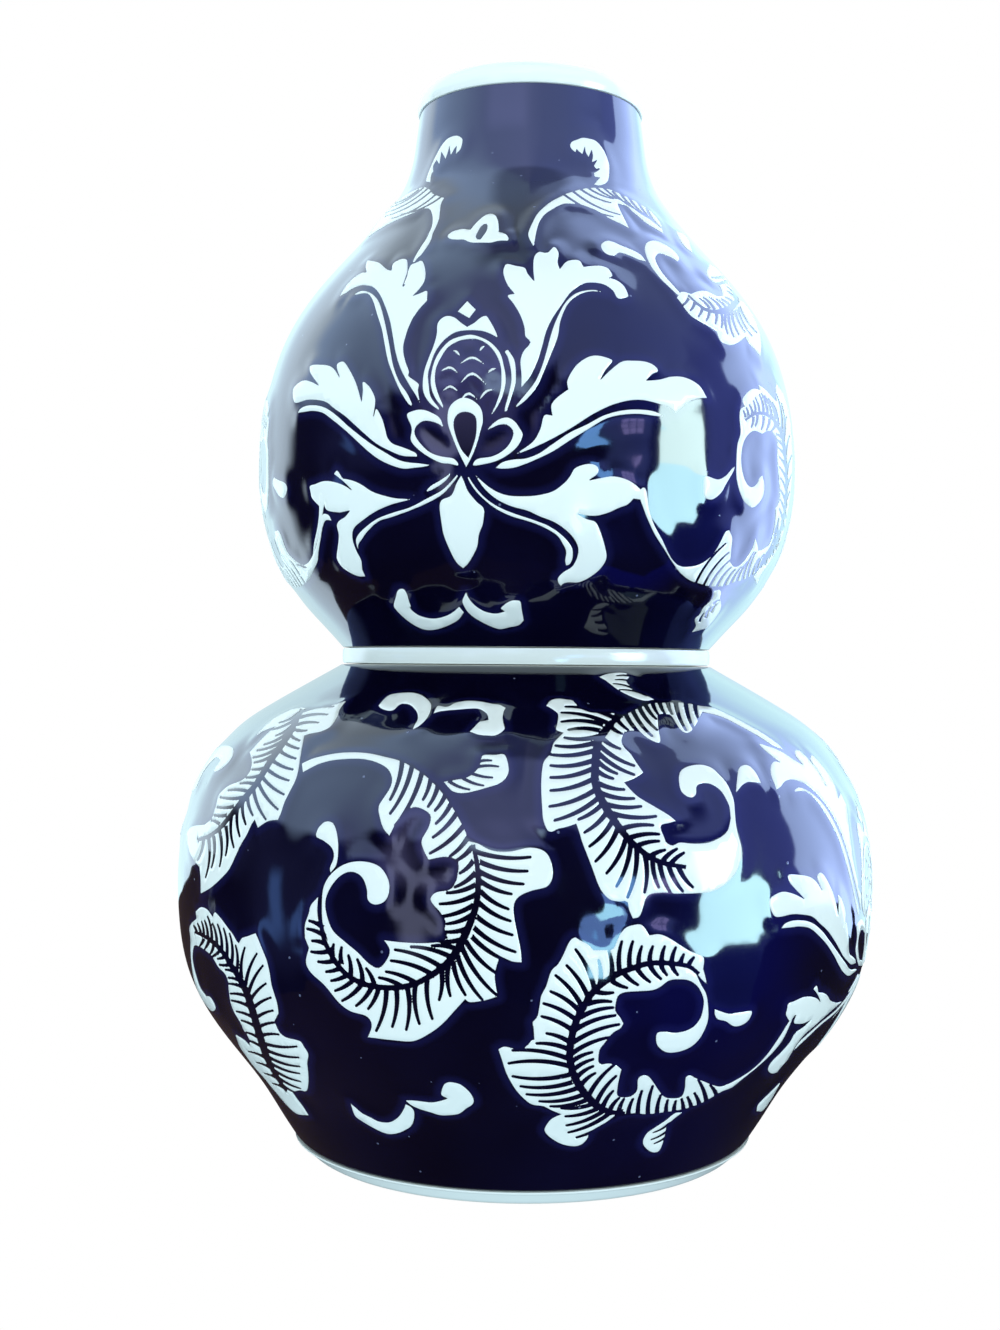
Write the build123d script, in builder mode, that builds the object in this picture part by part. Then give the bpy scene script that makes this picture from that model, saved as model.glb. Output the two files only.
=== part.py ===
from build123d import *
from math import hypot
import os

# Double gourd vase in glazed porcelain, built as its pressed and thrown sections
# that are luted together with slip. All sizes are in millimetres, +Z is up and
# the origin is the centre of the foot on the ground.

# Heights of the sections, from the ground up
foot_height = 4.2
lower_bowl_height = 73.8
lower_shoulder_height = 61.2
collar_height = 3.3
upper_bowl_height = 49.5
upper_shoulder_height = 80.0
neck_height = 26.3
lip_height = 6.7

# Outer radii, from the ground up
foot_ground_radius = 61.2
foot_top_radius = 66.0
lower_belly_radius = 100.0
waist_radius = 53.4
upper_belly_radius = 77.8
neck_base_radius = 39.7
neck_top_radius = 32.8

# Walls and bores
wall = 5.2
foot_wall = 8.0
throat_wall = 7.4
throat_radius = waist_radius - throat_wall
mouth_wall = 6.2
mouth_bore_radius = neck_top_radius - mouth_wall
lip_outer_round = 4.3
lip_inner_round = 1.7

# Foot ring and floor
foot_land_width = 12.2
foot_bore_radius = foot_ground_radius - foot_land_width
foot_chamfer = 0.8
floor_thickness = 6.5
floor_dish_depth = 1.2
floor_dish_radius = 38.0
foot_tongue_inset = 3.0
foot_tongue_height = 2.2

# Luting joints: a tongue on one rim sits in the rebate of the next rim
tongue_height = 4.0
tongue_width = 2.4
neck_tongue_height = 2.0
collar_tongue_height = 3.0
collar_tongue_width = 2.6
slip_gap = 0.15

# Beads of slip that are smeared over the joints inside
bead_height = 9.0
bead_bulge = 1.4
bead_seat_depth = 0.6
floor_bead_width = 7.0
floor_bead_height = 6.0

# Outlines, each point as a share of the section's height and a share of the
# change in radius from the section's lower rim to its upper rim
upright = (0, 1)
lower_bowl_shares = [(0.09, 0.126), (0.22, 0.3), (0.36, 0.527), (0.5, 0.746), (0.65, 0.905), (0.82, 0.982)]
lower_shoulder_shares = [(0.28, 0.044), (0.425, 0.106), (0.6, 0.244), (0.7, 0.36), (0.8, 0.545)]
upper_bowl_shares = [(0.12, 0.222), (0.24, 0.447), (0.355, 0.619), (0.5, 0.785), (0.7, 0.92)]
upper_shoulder_shares = [(0.16, 0.011), (0.32, 0.067), (0.475, 0.174), (0.65, 0.395), (0.85, 0.755)]
neck_shares = [(0.23, 0.449), (0.46, 0.71), (0.72, 0.86)]

# Levels of the joints
lower_belly_level = foot_height + lower_bowl_height
waist_level = lower_belly_level + lower_shoulder_height
collar_top_level = waist_level + collar_height
upper_belly_level = collar_top_level + upper_bowl_height
neck_base_level = upper_belly_level + upper_shoulder_height
neck_top_level = neck_base_level + neck_height
total_height = neck_top_level + lip_height

os.makedirs("parts", exist_ok=True)


def outer_points(low, high, shares):
    """Points of a section's outer outline, from its lower rim to its upper rim."""
    (low_radius, low_level), (high_radius, high_level) = low, high
    points = [low]
    for height_share, radius_share in shares:
        radius = low_radius + radius_share * (high_radius - low_radius)
        level = low_level + height_share * (high_level - low_level)
        points.append((radius, level))
    return points + [high]


def inner_points(outer, low_bore, high_bore):
    """Points of the inner outline: one wall in from the outer one, between two bores."""
    points = [(low_bore, outer[0][1])]
    for below, here, above in zip(outer, outer[1:], outer[2:]):
        run = above[0] - below[0]
        rise = above[1] - below[1]
        points.append((here[0] - wall * hypot(run, rise) / rise, here[1]))
    return points + [(high_bore, outer[-1][1])]


def lean(low, high):
    """Upward direction of an outline between two of its points."""
    run = high[0] - low[0]
    rise = high[1] - low[1]
    return (run / hypot(run, rise), rise / hypot(run, rise))


def wall_section(outer, inner, low_lean=None, high_lean=None):
    """Section of a wall between its two outlines, which lean alike at both rims."""
    with BuildSketch(Plane.XZ) as section:
        with BuildLine():
            for points in (outer, inner):
                first_lean = low_lean or lean(*points[:2])
                last_lean = high_lean or lean(*points[-2:])
                Spline(*points, tangents=[first_lean, last_lean])
            Line(outer[0], inner[0])
            Line(outer[-1], inner[-1])
        make_face()
    return section.sketch


def ring_section(inner_radius, outer_radius, low_level, high_level):
    """Upright rectangle that revolves into a ring, or into a disc from radius zero."""
    with BuildSketch(Plane.XZ) as section:
        with BuildLine():
            Polyline(
                (inner_radius, low_level),
                (outer_radius, low_level),
                (outer_radius, high_level),
                (inner_radius, high_level),
                close=True,
            )
        make_face()
    return section.sketch


def bead_section(seat_radius, bore_radius, middle_level, height):
    """Section of a bead of slip: a straight back in its seat and a bulging face."""
    low_level = middle_level - height / 2
    high_level = middle_level + height / 2
    with BuildSketch(Plane.XZ) as section:
        with BuildLine():
            Polyline(
                (bore_radius, low_level),
                (seat_radius, low_level),
                (seat_radius, high_level),
                (bore_radius, high_level),
            )
            ThreePointArc(
                (bore_radius, low_level),
                (bore_radius - bead_bulge, middle_level),
                (bore_radius, high_level),
            )
        make_face()
    return section.sketch


def bore_at(points, level):
    """Radius of an inner outline at a level, on the straight line between its points."""
    for low, high in zip(points, points[1:]):
        if low[1] <= level <= high[1]:
            share = (level - low[1]) / (high[1] - low[1])
            return low[0] + share * (high[0] - low[0])
    raise ValueError("the level lies off the outline")


# Bores and seats of the sections at their joints
foot_joint_bore = foot_top_radius - foot_wall
lower_belly_bore = lower_belly_radius - wall
upper_belly_bore = upper_belly_radius - wall
lower_seat_radius = lower_belly_bore + bead_seat_depth
upper_seat_radius = upper_belly_bore + bead_seat_depth
lower_tongue_radius = lower_seat_radius + tongue_width
upper_tongue_radius = upper_seat_radius + tongue_width
collar_tongue_radius = throat_radius + collar_tongue_width
mouth_tongue_radius = mouth_bore_radius + tongue_width
foot_tongue_inner = foot_joint_bore + foot_tongue_inset
foot_tongue_outer = foot_tongue_inner + tongue_width

# Outlines of the sections
lower_bowl_outer = outer_points(
    (foot_top_radius, foot_height), (lower_belly_radius, lower_belly_level), lower_bowl_shares
)
lower_bowl_inner = inner_points(lower_bowl_outer, foot_joint_bore, lower_belly_bore)

lower_shoulder_outer = outer_points(
    (lower_belly_radius, lower_belly_level), (waist_radius, waist_level), lower_shoulder_shares
)
lower_shoulder_inner = inner_points(lower_shoulder_outer, lower_belly_bore, throat_radius)

upper_bowl_outer = outer_points(
    (waist_radius, collar_top_level), (upper_belly_radius, upper_belly_level), upper_bowl_shares
)
upper_bowl_inner = inner_points(upper_bowl_outer, throat_radius, upper_belly_bore)

upper_shoulder_outer = outer_points(
    (upper_belly_radius, upper_belly_level), (neck_base_radius, neck_base_level), upper_shoulder_shares
)
neck_outer = outer_points(
    (neck_base_radius, neck_base_level), (neck_top_radius, neck_top_level), neck_shares
)

# The shoulder and the neck meet at one slope, so their joint has one bore
neck_joint_lean = lean(upper_shoulder_outer[-2], neck_outer[1])
neck_joint_bore = neck_base_radius - wall / neck_joint_lean[1]
neck_tongue_radius = neck_joint_bore + tongue_width
upper_shoulder_inner = inner_points(upper_shoulder_outer, upper_belly_bore, neck_joint_bore)
neck_inner = inner_points(neck_outer, neck_joint_bore, mouth_bore_radius)

# Floor seat: the cone inside the bowl that holds the floor and its bead of slip
floor_top_level = foot_height + floor_thickness
floor_bead_level = floor_top_level + floor_bead_height
floor_top_radius = bore_at(lower_bowl_inner, floor_top_level)
floor_bead_radius = bore_at(lower_bowl_inner, floor_bead_level)

# Foot ring: the white tapered foot, with the tongue that keys the bowl
with BuildPart() as foot_ring:
    with BuildSketch(Plane.XZ):
        with BuildLine():
            Polyline(
                (foot_bore_radius, 0),
                (foot_ground_radius, 0),
                (foot_top_radius, foot_height),
                (foot_bore_radius, foot_height),
                close=True,
            )
        make_face()
    revolve(axis=Axis.Z)
    ground_edges = foot_ring.edges().group_by(Axis.Z)[0]
    chamfer(ground_edges, length=foot_chamfer)
    foot_tongue_top = foot_height + foot_tongue_height
    foot_tongue = ring_section(foot_tongue_inner, foot_tongue_outer, foot_height, foot_tongue_top)
    revolve(foot_tongue, axis=Axis.Z)
foot_ring.part.label = "foot_ring"
export_step(foot_ring.part, "parts/foot_ring.step")

# Base floor: the recessed disc that closes the lower chamber, dished on top
with BuildPart() as base_floor:
    with BuildSketch(Plane.XZ):
        with BuildLine():
            Line((0, foot_height), (foot_joint_bore - slip_gap, foot_height))
            Line((foot_joint_bore - slip_gap, foot_height), (floor_top_radius - slip_gap, floor_top_level))
            Line((floor_top_radius - slip_gap, floor_top_level), (floor_dish_radius, floor_top_level))
            Spline(
                (floor_dish_radius, floor_top_level),
                (0, floor_top_level - floor_dish_depth),
                tangents=[(-1, 0), (-1, 0)],
            )
            Line((0, floor_top_level - floor_dish_depth), (0, foot_height))
        make_face()
    revolve(axis=Axis.Z)
base_floor.part.label = "base_floor"
export_step(base_floor.part, "parts/base_floor.step")

# Floor bead: slip pressed into the corner between the floor and the bowl
with BuildPart() as floor_bead:
    with BuildSketch(Plane.XZ):
        with BuildLine():
            bead_toe = (floor_top_radius - floor_bead_width, floor_top_level)
            bead_heel = (floor_top_radius - slip_gap, floor_top_level)
            bead_top = (floor_bead_radius - slip_gap, floor_bead_level)
            Polyline(bead_toe, bead_heel, bead_top)
            Spline(bead_toe, bead_top, tangents=[(1, 0), lean(bead_heel, bead_top)])
        make_face()
    revolve(axis=Axis.Z)
floor_bead.part.label = "floor_bead"
export_step(floor_bead.part, "parts/floor_bead.step")

# Lower bowl: from the foot to the widest line of the lower bulb
with BuildPart() as lower_bowl:
    revolve(wall_section(lower_bowl_outer, lower_bowl_inner, high_lean=upright), axis=Axis.Z)
    foot_groove = ring_section(
        foot_tongue_inner - slip_gap,
        foot_tongue_outer + slip_gap,
        foot_height,
        foot_tongue_top + slip_gap,
    )
    revolve(foot_groove, axis=Axis.Z, mode=Mode.SUBTRACT)
    with BuildSketch(Plane.XZ):
        with BuildLine():
            Polyline(
                (0, foot_height),
                (foot_joint_bore, foot_height),
                (floor_top_radius, floor_top_level),
                (floor_bead_radius, floor_bead_level),
                (0, floor_bead_level),
                close=True,
            )
        make_face()
    revolve(axis=Axis.Z, mode=Mode.SUBTRACT)
    belly_tongue = ring_section(
        lower_seat_radius, lower_tongue_radius, lower_belly_level, lower_belly_level + tongue_height
    )
    revolve(belly_tongue, axis=Axis.Z)
    bead_seat = ring_section(0, lower_seat_radius, lower_belly_level - bead_height / 2, lower_belly_level)
    revolve(bead_seat, axis=Axis.Z, mode=Mode.SUBTRACT)
lower_bowl.part.label = "lower_bowl"
export_step(lower_bowl.part, "parts/lower_bowl.step")

# Lower shoulder: from the widest line of the lower bulb in to the waist
with BuildPart() as lower_shoulder:
    revolve(wall_section(lower_shoulder_outer, lower_shoulder_inner, low_lean=upright), axis=Axis.Z)
    belly_rebate = ring_section(
        0,
        lower_tongue_radius + slip_gap,
        lower_belly_level,
        lower_belly_level + tongue_height + slip_gap,
    )
    bead_seat = ring_section(0, lower_seat_radius, lower_belly_level, lower_belly_level + bead_height / 2)
    collar_rebate = ring_section(
        0,
        collar_tongue_radius + slip_gap,
        waist_level - collar_tongue_height - slip_gap,
        waist_level,
    )
    for cut in (belly_rebate, bead_seat, collar_rebate):
        revolve(cut, axis=Axis.Z, mode=Mode.SUBTRACT)
lower_shoulder.part.label = "lower_shoulder"
export_step(lower_shoulder.part, "parts/lower_shoulder.step")

# Waist collar: the white band, with a sleeve that keys both bulbs
with BuildPart() as waist_collar:
    revolve(ring_section(throat_radius, waist_radius, waist_level, collar_top_level), axis=Axis.Z)
    sleeve = ring_section(
        throat_radius,
        collar_tongue_radius,
        waist_level - collar_tongue_height,
        collar_top_level + collar_tongue_height,
    )
    revolve(sleeve, axis=Axis.Z)
waist_collar.part.label = "waist_collar"
export_step(waist_collar.part, "parts/waist_collar.step")

# Upper bowl: from the waist to the widest line of the upper bulb
with BuildPart() as upper_bowl:
    revolve(wall_section(upper_bowl_outer, upper_bowl_inner, high_lean=upright), axis=Axis.Z)
    collar_rebate = ring_section(
        0,
        collar_tongue_radius + slip_gap,
        collar_top_level,
        collar_top_level + collar_tongue_height + slip_gap,
    )
    revolve(collar_rebate, axis=Axis.Z, mode=Mode.SUBTRACT)
    belly_tongue = ring_section(
        upper_seat_radius, upper_tongue_radius, upper_belly_level, upper_belly_level + tongue_height
    )
    revolve(belly_tongue, axis=Axis.Z)
    bead_seat = ring_section(0, upper_seat_radius, upper_belly_level - bead_height / 2, upper_belly_level)
    revolve(bead_seat, axis=Axis.Z, mode=Mode.SUBTRACT)
upper_bowl.part.label = "upper_bowl"
export_step(upper_bowl.part, "parts/upper_bowl.step")

# Upper shoulder: from the widest line of the upper bulb in to the neck
with BuildPart() as upper_shoulder:
    shoulder_wall = wall_section(
        upper_shoulder_outer, upper_shoulder_inner, low_lean=upright, high_lean=neck_joint_lean
    )
    revolve(shoulder_wall, axis=Axis.Z)
    belly_rebate = ring_section(
        0,
        upper_tongue_radius + slip_gap,
        upper_belly_level,
        upper_belly_level + tongue_height + slip_gap,
    )
    bead_seat = ring_section(0, upper_seat_radius, upper_belly_level, upper_belly_level + bead_height / 2)
    for cut in (belly_rebate, bead_seat):
        revolve(cut, axis=Axis.Z, mode=Mode.SUBTRACT)
    neck_tongue = ring_section(
        neck_joint_bore, neck_tongue_radius, neck_base_level, neck_base_level + neck_tongue_height
    )
    revolve(neck_tongue, axis=Axis.Z)
upper_shoulder.part.label = "upper_shoulder"
export_step(upper_shoulder.part, "parts/upper_shoulder.step")

# Neck: the flared tube between the upper bulb and the lip
with BuildPart() as neck:
    revolve(wall_section(neck_outer, neck_inner, low_lean=neck_joint_lean), axis=Axis.Z)
    neck_rebate = ring_section(
        0,
        neck_tongue_radius + slip_gap,
        neck_base_level,
        neck_base_level + neck_tongue_height + slip_gap,
    )
    revolve(neck_rebate, axis=Axis.Z, mode=Mode.SUBTRACT)
    mouth_tongue = ring_section(
        mouth_bore_radius, mouth_tongue_radius, neck_top_level, neck_top_level + neck_tongue_height
    )
    revolve(mouth_tongue, axis=Axis.Z)
neck.part.label = "neck"
export_step(neck.part, "parts/neck.step")

# Lip ring: the thick white mouth, rounded over and rebated below for the neck
with BuildPart() as lip_ring:
    revolve(ring_section(mouth_bore_radius, neck_top_radius, neck_top_level, total_height), axis=Axis.Z)
    crown_edges = lip_ring.edges().group_by(Axis.Z)[-1].sort_by(SortBy.RADIUS)
    fillet(crown_edges[0], radius=lip_inner_round)
    crown_edges = lip_ring.edges().group_by(Axis.Z)[-1].sort_by(SortBy.RADIUS)
    fillet(crown_edges[-1], radius=lip_outer_round)
    mouth_rebate = ring_section(
        0,
        mouth_tongue_radius + slip_gap,
        neck_top_level,
        neck_top_level + neck_tongue_height + slip_gap,
    )
    revolve(mouth_rebate, axis=Axis.Z, mode=Mode.SUBTRACT)
lip_ring.part.label = "lip_ring"
export_step(lip_ring.part, "parts/lip_ring.step")

# Belly beads: slip smeared round the inside of each bulb's widest joint
with BuildPart() as lower_belly_bead:
    lower_bead = bead_section(
        lower_seat_radius - slip_gap, lower_belly_bore, lower_belly_level, bead_height - 2 * slip_gap
    )
    revolve(lower_bead, axis=Axis.Z)
lower_belly_bead.part.label = "lower_belly_bead"
export_step(lower_belly_bead.part, "parts/lower_belly_bead.step")

with BuildPart() as upper_belly_bead:
    upper_bead = bead_section(
        upper_seat_radius - slip_gap, upper_belly_bore, upper_belly_level, bead_height - 2 * slip_gap
    )
    revolve(upper_bead, axis=Axis.Z)
upper_belly_bead.part.label = "upper_belly_bead"
export_step(upper_belly_bead.part, "parts/upper_belly_bead.step")
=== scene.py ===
import math
from functools import cache

import bpy
import numpy as np
from bpy.props import FloatProperty, FloatVectorProperty, IntProperty, PointerProperty
from mathutils import Matrix, Vector, kdtree
from mathutils.geometry import delaunay_2d_cdt


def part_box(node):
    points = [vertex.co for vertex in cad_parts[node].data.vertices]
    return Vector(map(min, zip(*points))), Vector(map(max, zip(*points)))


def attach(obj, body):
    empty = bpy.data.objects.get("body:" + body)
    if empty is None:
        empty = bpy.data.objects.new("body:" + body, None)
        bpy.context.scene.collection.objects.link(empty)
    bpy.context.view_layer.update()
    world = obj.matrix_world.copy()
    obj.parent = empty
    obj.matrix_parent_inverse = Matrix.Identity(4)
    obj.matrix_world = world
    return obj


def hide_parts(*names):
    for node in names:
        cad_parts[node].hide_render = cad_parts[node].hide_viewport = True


bl_info = {
    "name": "Double Gourd Vase",
    "version": (1, 0, 0),
    "blender": (4, 5, 0),
    "location": "3D View > Sidebar > Vase",
    "description": "Builds the glazed double gourd vase with its lotus and feather scrolls",
    "category": "Add Mesh",
}

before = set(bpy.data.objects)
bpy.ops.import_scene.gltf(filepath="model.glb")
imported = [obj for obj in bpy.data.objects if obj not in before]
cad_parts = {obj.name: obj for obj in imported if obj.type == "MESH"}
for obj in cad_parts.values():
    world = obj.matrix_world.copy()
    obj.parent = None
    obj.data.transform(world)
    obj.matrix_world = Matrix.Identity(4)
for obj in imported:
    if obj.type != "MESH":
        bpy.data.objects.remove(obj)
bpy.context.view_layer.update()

# Profiles, depths and the drawn pattern are worked out in millimetres
MM = 0.001

# Where the pattern was drawn from: a level eye, its distance, and the page it looks through
EYE_HEIGHT = 138.5
EYE_DISTANCE = 495.0
EYE_FOCUS = 1690.0
EYE_CENTRE = (526.0, 665.0)
EYE_ROLL = 0.008
PAGE = (1000, 1330)
SIGHT_NEAR, SIGHT_FAR, SIGHT_STEPS = 380, 505, 700

# Outlines: shares of a section's height and of its change in radius
LOWER_BOWL = [(0.09, 0.126), (0.22, 0.3), (0.36, 0.527), (0.5, 0.746), (0.65, 0.905), (0.82, 0.982)]
LOWER_SHOULDER = [(0.28, 0.044), (0.425, 0.106), (0.6, 0.244), (0.7, 0.36), (0.8, 0.545)]
UPPER_BOWL = [(0.12, 0.222), (0.24, 0.447), (0.355, 0.619), (0.5, 0.785), (0.7, 0.92)]
UPPER_SHOULDER = [(0.16, 0.011), (0.32, 0.067), (0.475, 0.174), (0.65, 0.395), (0.85, 0.755)]
NECK = [(0.23, 0.449), (0.46, 0.71), (0.72, 0.86)]

# Depths below the outline: the blue away from leaves and beside them, a leaf and its rim
GROUND = 0.65
RIDGE = 0.22
PLATE = 0.02
BURIED = 0.36

# How far a leaf takes to round over at its rim, and the blue to sink away from it
EDGE_RUN = 0.3
SWELL_RUN = 3.0

# The foot and the floor
FOOT_FLARE = 4.8
FOOT_LAND = 17.0
FLOOR_HEIGHT = 12.0
FLOOR_WALL = 4.6

# The walls of the bulbs, the waist band and the lip
BULB_WALL = 5.2
INNER_RINGS = 24
WAIST_WALL = 7.4
LIP_WALL = 6.2
LIP_ROLL = 4.3
LIP_INNER_ROLL = 1.7
LIP_INSET = 0.02

# The bare inside is told from the glaze by its share of the wall
BARE_DEPTH = 0.6

# Drawn lines: points per bend, the distance between points on the skin, and the least
# distance between points inside a leaf
BEND_POINTS = 6
SKIN_STEP = 0.7
GRID_STEP = 2.2
FIRST_ROW, SECOND_ROW = 0.16, 0.36
ROW_CLEAR, ROW_GAP, GRID_CLEAR = 0.12, 0.16, 0.7


# ---------------------------------------------------------------- the outline


def lengths(points):
    """Length along a line up to each of its points."""
    return np.concatenate([[0], np.cumsum(np.hypot(*np.diff(points, axis=0).T))])


def spline(points, first, last, step=0.25):
    """Smooth curve through points with given directions at its ends, as radius and level."""
    p = np.array(points, float)
    t = lengths(p)
    n, h = len(p), np.diff(t)
    a, b = np.zeros((n, n)), np.zeros((n, 2))
    a[0, 0] = a[-1, -1] = 1
    b[0], b[-1] = first, last
    for i in range(1, n - 1):
        a[i, i - 1 : i + 2] = h[i], 2 * (h[i - 1] + h[i]), h[i - 1]
        rise = h[i - 1] * (p[i + 1] - p[i]) / h[i] + h[i] * (p[i] - p[i - 1]) / h[i - 1]
        b[i] = 3 * rise
    slope = np.linalg.solve(a, b)
    s = np.linspace(0, t[-1], int(t[-1] / step) + 2)
    k = np.clip(np.searchsorted(t, s, side="right") - 1, 0, n - 2)
    u = ((s - t[k]) / h[k])[:, None]
    hk = h[k][:, None]
    return (
        (2 * u**3 - 3 * u**2 + 1) * p[k]
        + (u**3 - 2 * u**2 + u) * hk * slope[k]
        + (3 * u**2 - 2 * u**3) * p[k + 1]
        + (u**3 - u**2) * hk * slope[k + 1]
    )


def unit(low, high):
    """Direction from one point to another."""
    d = np.subtract(high, low)
    return d / np.hypot(*d)


def section(low, high, shares):
    """Outline points of one section between its two ends."""
    mid = [(low[0] + b * (high[0] - low[0]), low[1] + a * (high[1] - low[1])) for a, b in shares]
    return [low, *mid, high]


def bottom(node):
    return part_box(node)[0].z / MM


def top(node):
    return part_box(node)[1].z / MM


def radius_of(node):
    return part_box(node)[1].x / MM


FOOT_TOP, LOWER_BELLY, COLLAR_TOP, UPPER_BELLY, NECK_BASE, NECK_TOP = (
    bottom(node)
    for node in ("lower_bowl", "lower_shoulder", "upper_bowl", "upper_shoulder", "neck", "lip_ring")
)
WAIST, FLOOR_TOP, TOP = top("lower_shoulder"), top("base_floor"), top("lip_ring")
FOOT_R, LOWER_R, WAIST_R, UPPER_R, NECK_R, LIP_R = (
    radius_of(node)
    for node in ("foot_ring", "lower_bowl", "waist_collar", "upper_bowl", "neck", "lip_ring")
)
UP = np.array([0.0, 1.0])


def outline_curve():
    """Radius and level of the vase's outer outline, from the ground to the lip."""
    bowl = section((FOOT_R, FOOT_TOP), (LOWER_R, LOWER_BELLY), LOWER_BOWL)
    shoulder = section((LOWER_R, LOWER_BELLY), (WAIST_R, WAIST), LOWER_SHOULDER)
    upper = section((WAIST_R, COLLAR_TOP), (UPPER_R, UPPER_BELLY), UPPER_BOWL)
    high = section((UPPER_R, UPPER_BELLY), (NECK_R, NECK_BASE), UPPER_SHOULDER)
    neck = section((NECK_R, NECK_BASE), (LIP_R, NECK_TOP), NECK)
    joint = unit(high[-2], neck[1])
    foot = [(FOOT_R - FOOT_FLARE + FOOT_FLARE * i / 8, FOOT_TOP * i / 8) for i in range(8)]
    curve = np.vstack(
        [
            foot,
            spline(bowl, unit(*bowl[:2]), UP),
            spline(shoulder, UP, unit(*shoulder[-2:])),
            [(WAIST_R, WAIST + 0.3), (WAIST_R, COLLAR_TOP - 0.3)],
            spline(upper, unit(*upper[:2]), UP),
            spline(high, UP, joint),
            spline(neck, joint, unit(*neck[-2:])),
            [(LIP_R, NECK_TOP + 0.3 * i) for i in range(1, 22)],
        ]
    )
    return curve[np.concatenate([[True], np.diff(curve[:, 1]) > 1e-4])]


# A place on the skin is an azimuth, 0 towards the eye, and a rise: the length along the
# outline divided by the radius on the way, so that a shape on the skin keeps its angles
CURVE = outline_curve()
LEVELS, RADII = CURVE[:, 1], CURVE[:, 0]
RUN = np.hypot(np.gradient(RADII), np.gradient(LEVELS))
LEAN_R, LEAN_Z = np.gradient(RADII) / RUN, np.gradient(LEVELS) / RUN
HALF = np.hypot(np.diff(RADII), np.diff(LEVELS)) / ((RADII[1:] + RADII[:-1]) / 2)
RISE = np.concatenate([[0], np.cumsum(HALF)])


def on_skin(turn, rise, depth):
    """Points of the vase at azimuths, rises and depths below the outline, in metres."""
    level = np.interp(rise, RISE, LEVELS)
    radius = np.interp(rise, RISE, RADII)
    lean_r, lean_z = np.interp(rise, RISE, LEAN_R), np.interp(rise, RISE, LEAN_Z)
    radius = radius - depth * lean_z
    level = level + depth * lean_r
    return np.stack([radius * np.sin(turn), -radius * np.cos(turn), level], 1) * MM


def from_page(points):
    """Azimuth and rise of the vase under points of the page."""
    p = np.array(points, float) - EYE_CENTRE
    c, s = math.cos(EYE_ROLL), math.sin(EYE_ROLL)
    u = (p[:, 0] * c + p[:, 1] * s)[:, None]
    v = (-p[:, 0] * s + p[:, 1] * c)[:, None]
    t = np.linspace(SIGHT_NEAR, SIGHT_FAR, SIGHT_STEPS)[None, :]
    x, y, z = u / EYE_FOCUS * t, t - EYE_DISTANCE, EYE_HEIGHT - v / EYE_FOCUS * t
    gap = np.hypot(x, y) - np.interp(z, LEVELS, RADII)
    hit = gap <= 0
    index = np.where(hit.any(1), hit.argmax(1), gap.argmin(1))
    index = np.clip(index, 1, None)
    rows = np.arange(len(p))
    g1, g0 = gap[rows, index], gap[rows, index - 1]
    f = np.where(hit.any(1) & (g0 > g1), g0 / np.maximum(g0 - g1, 1e-9), 1.0)
    f = np.clip(f, 0, 1)
    t = t[0, index - 1] * (1 - f) + t[0, index] * f
    x, y, z = u[:, 0] / EYE_FOCUS * t, t - EYE_DISTANCE, EYE_HEIGHT - v[:, 0] / EYE_FOCUS * t
    return np.stack([np.arctan2(x, -y), np.interp(z, LEVELS, RISE)], 1)


# ---------------------------------------------------------------- drawn curves


def numbers(word):
    return [float(n) for n in word.rstrip("!").split(",")]


def bend_through(points, count=BEND_POINTS):
    """Rounded curve through a run of points, with both ends kept."""
    p = np.vstack([2 * points[0] - points[1], points, 2 * points[-1] - points[-2]])
    u = (np.arange(count) / count)[:, None]
    out = []
    for a, b, c, d in zip(p, p[1:], p[2:], p[3:]):
        square, cube = 2 * a - 5 * b + 4 * c - d, 3 * b - a - 3 * c + d
        out.append(0.5 * (2 * b + (c - a) * u + square * u**2 + cube * u**3))
    return np.vstack([*out, points[-1:]])


def runs_of(text):
    """The smooth runs of a closed drawn outline, where ! follows a sharp tip or notch."""
    words = text.split()
    points = np.array([numbers(word) for word in words])
    sharp = np.array([word.endswith("!") for word in words])
    if not sharp.any():
        ring = np.vstack([points, points[:3]])
        return [bend_through(ring)[BEND_POINTS:-BEND_POINTS]]
    start = int(np.argmax(sharp))
    points, sharp = np.roll(points, -start, 0), np.roll(sharp, -start)
    points, sharp = np.vstack([points, points[:1]]), np.append(sharp, True)
    corners = np.flatnonzero(sharp)
    return [bend_through(points[a : b + 1]) for a, b in zip(corners, corners[1:])]


def even(run):
    """Evenly spaced points along a run on the skin, without its last point."""
    radius = np.interp(run[:, 1], RISE, RADII)
    step = np.hypot(*np.diff(run, axis=0).T) * (radius[1:] + radius[:-1]) / 2
    length = np.concatenate([[0], np.cumsum(step)])
    count = max(2, int(round(length[-1] / SKIN_STEP)))
    at = np.linspace(0, length[-1], count + 1)[:-1]
    return np.stack([np.interp(at, length, run[:, 0]), np.interp(at, length, run[:, 1])], 1)


def loop_of(text):
    """A drawn outline as one ring on the skin."""
    return np.vstack([even(from_page(run)) for run in runs_of(text)])


def along(line, share):
    """Point and direction at a share of a line's length."""
    length = lengths(line)
    at = np.clip(share, 0, 1) * length[-1]
    point, before, after = (
        np.array([np.interp(a, length, line[:, 0]), np.interp(a, length, line[:, 1])])
        for a in (at, at - 4, at + 4)
    )
    return point, (after - before) / max(np.hypot(*(after - before)), 1e-9)


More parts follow.
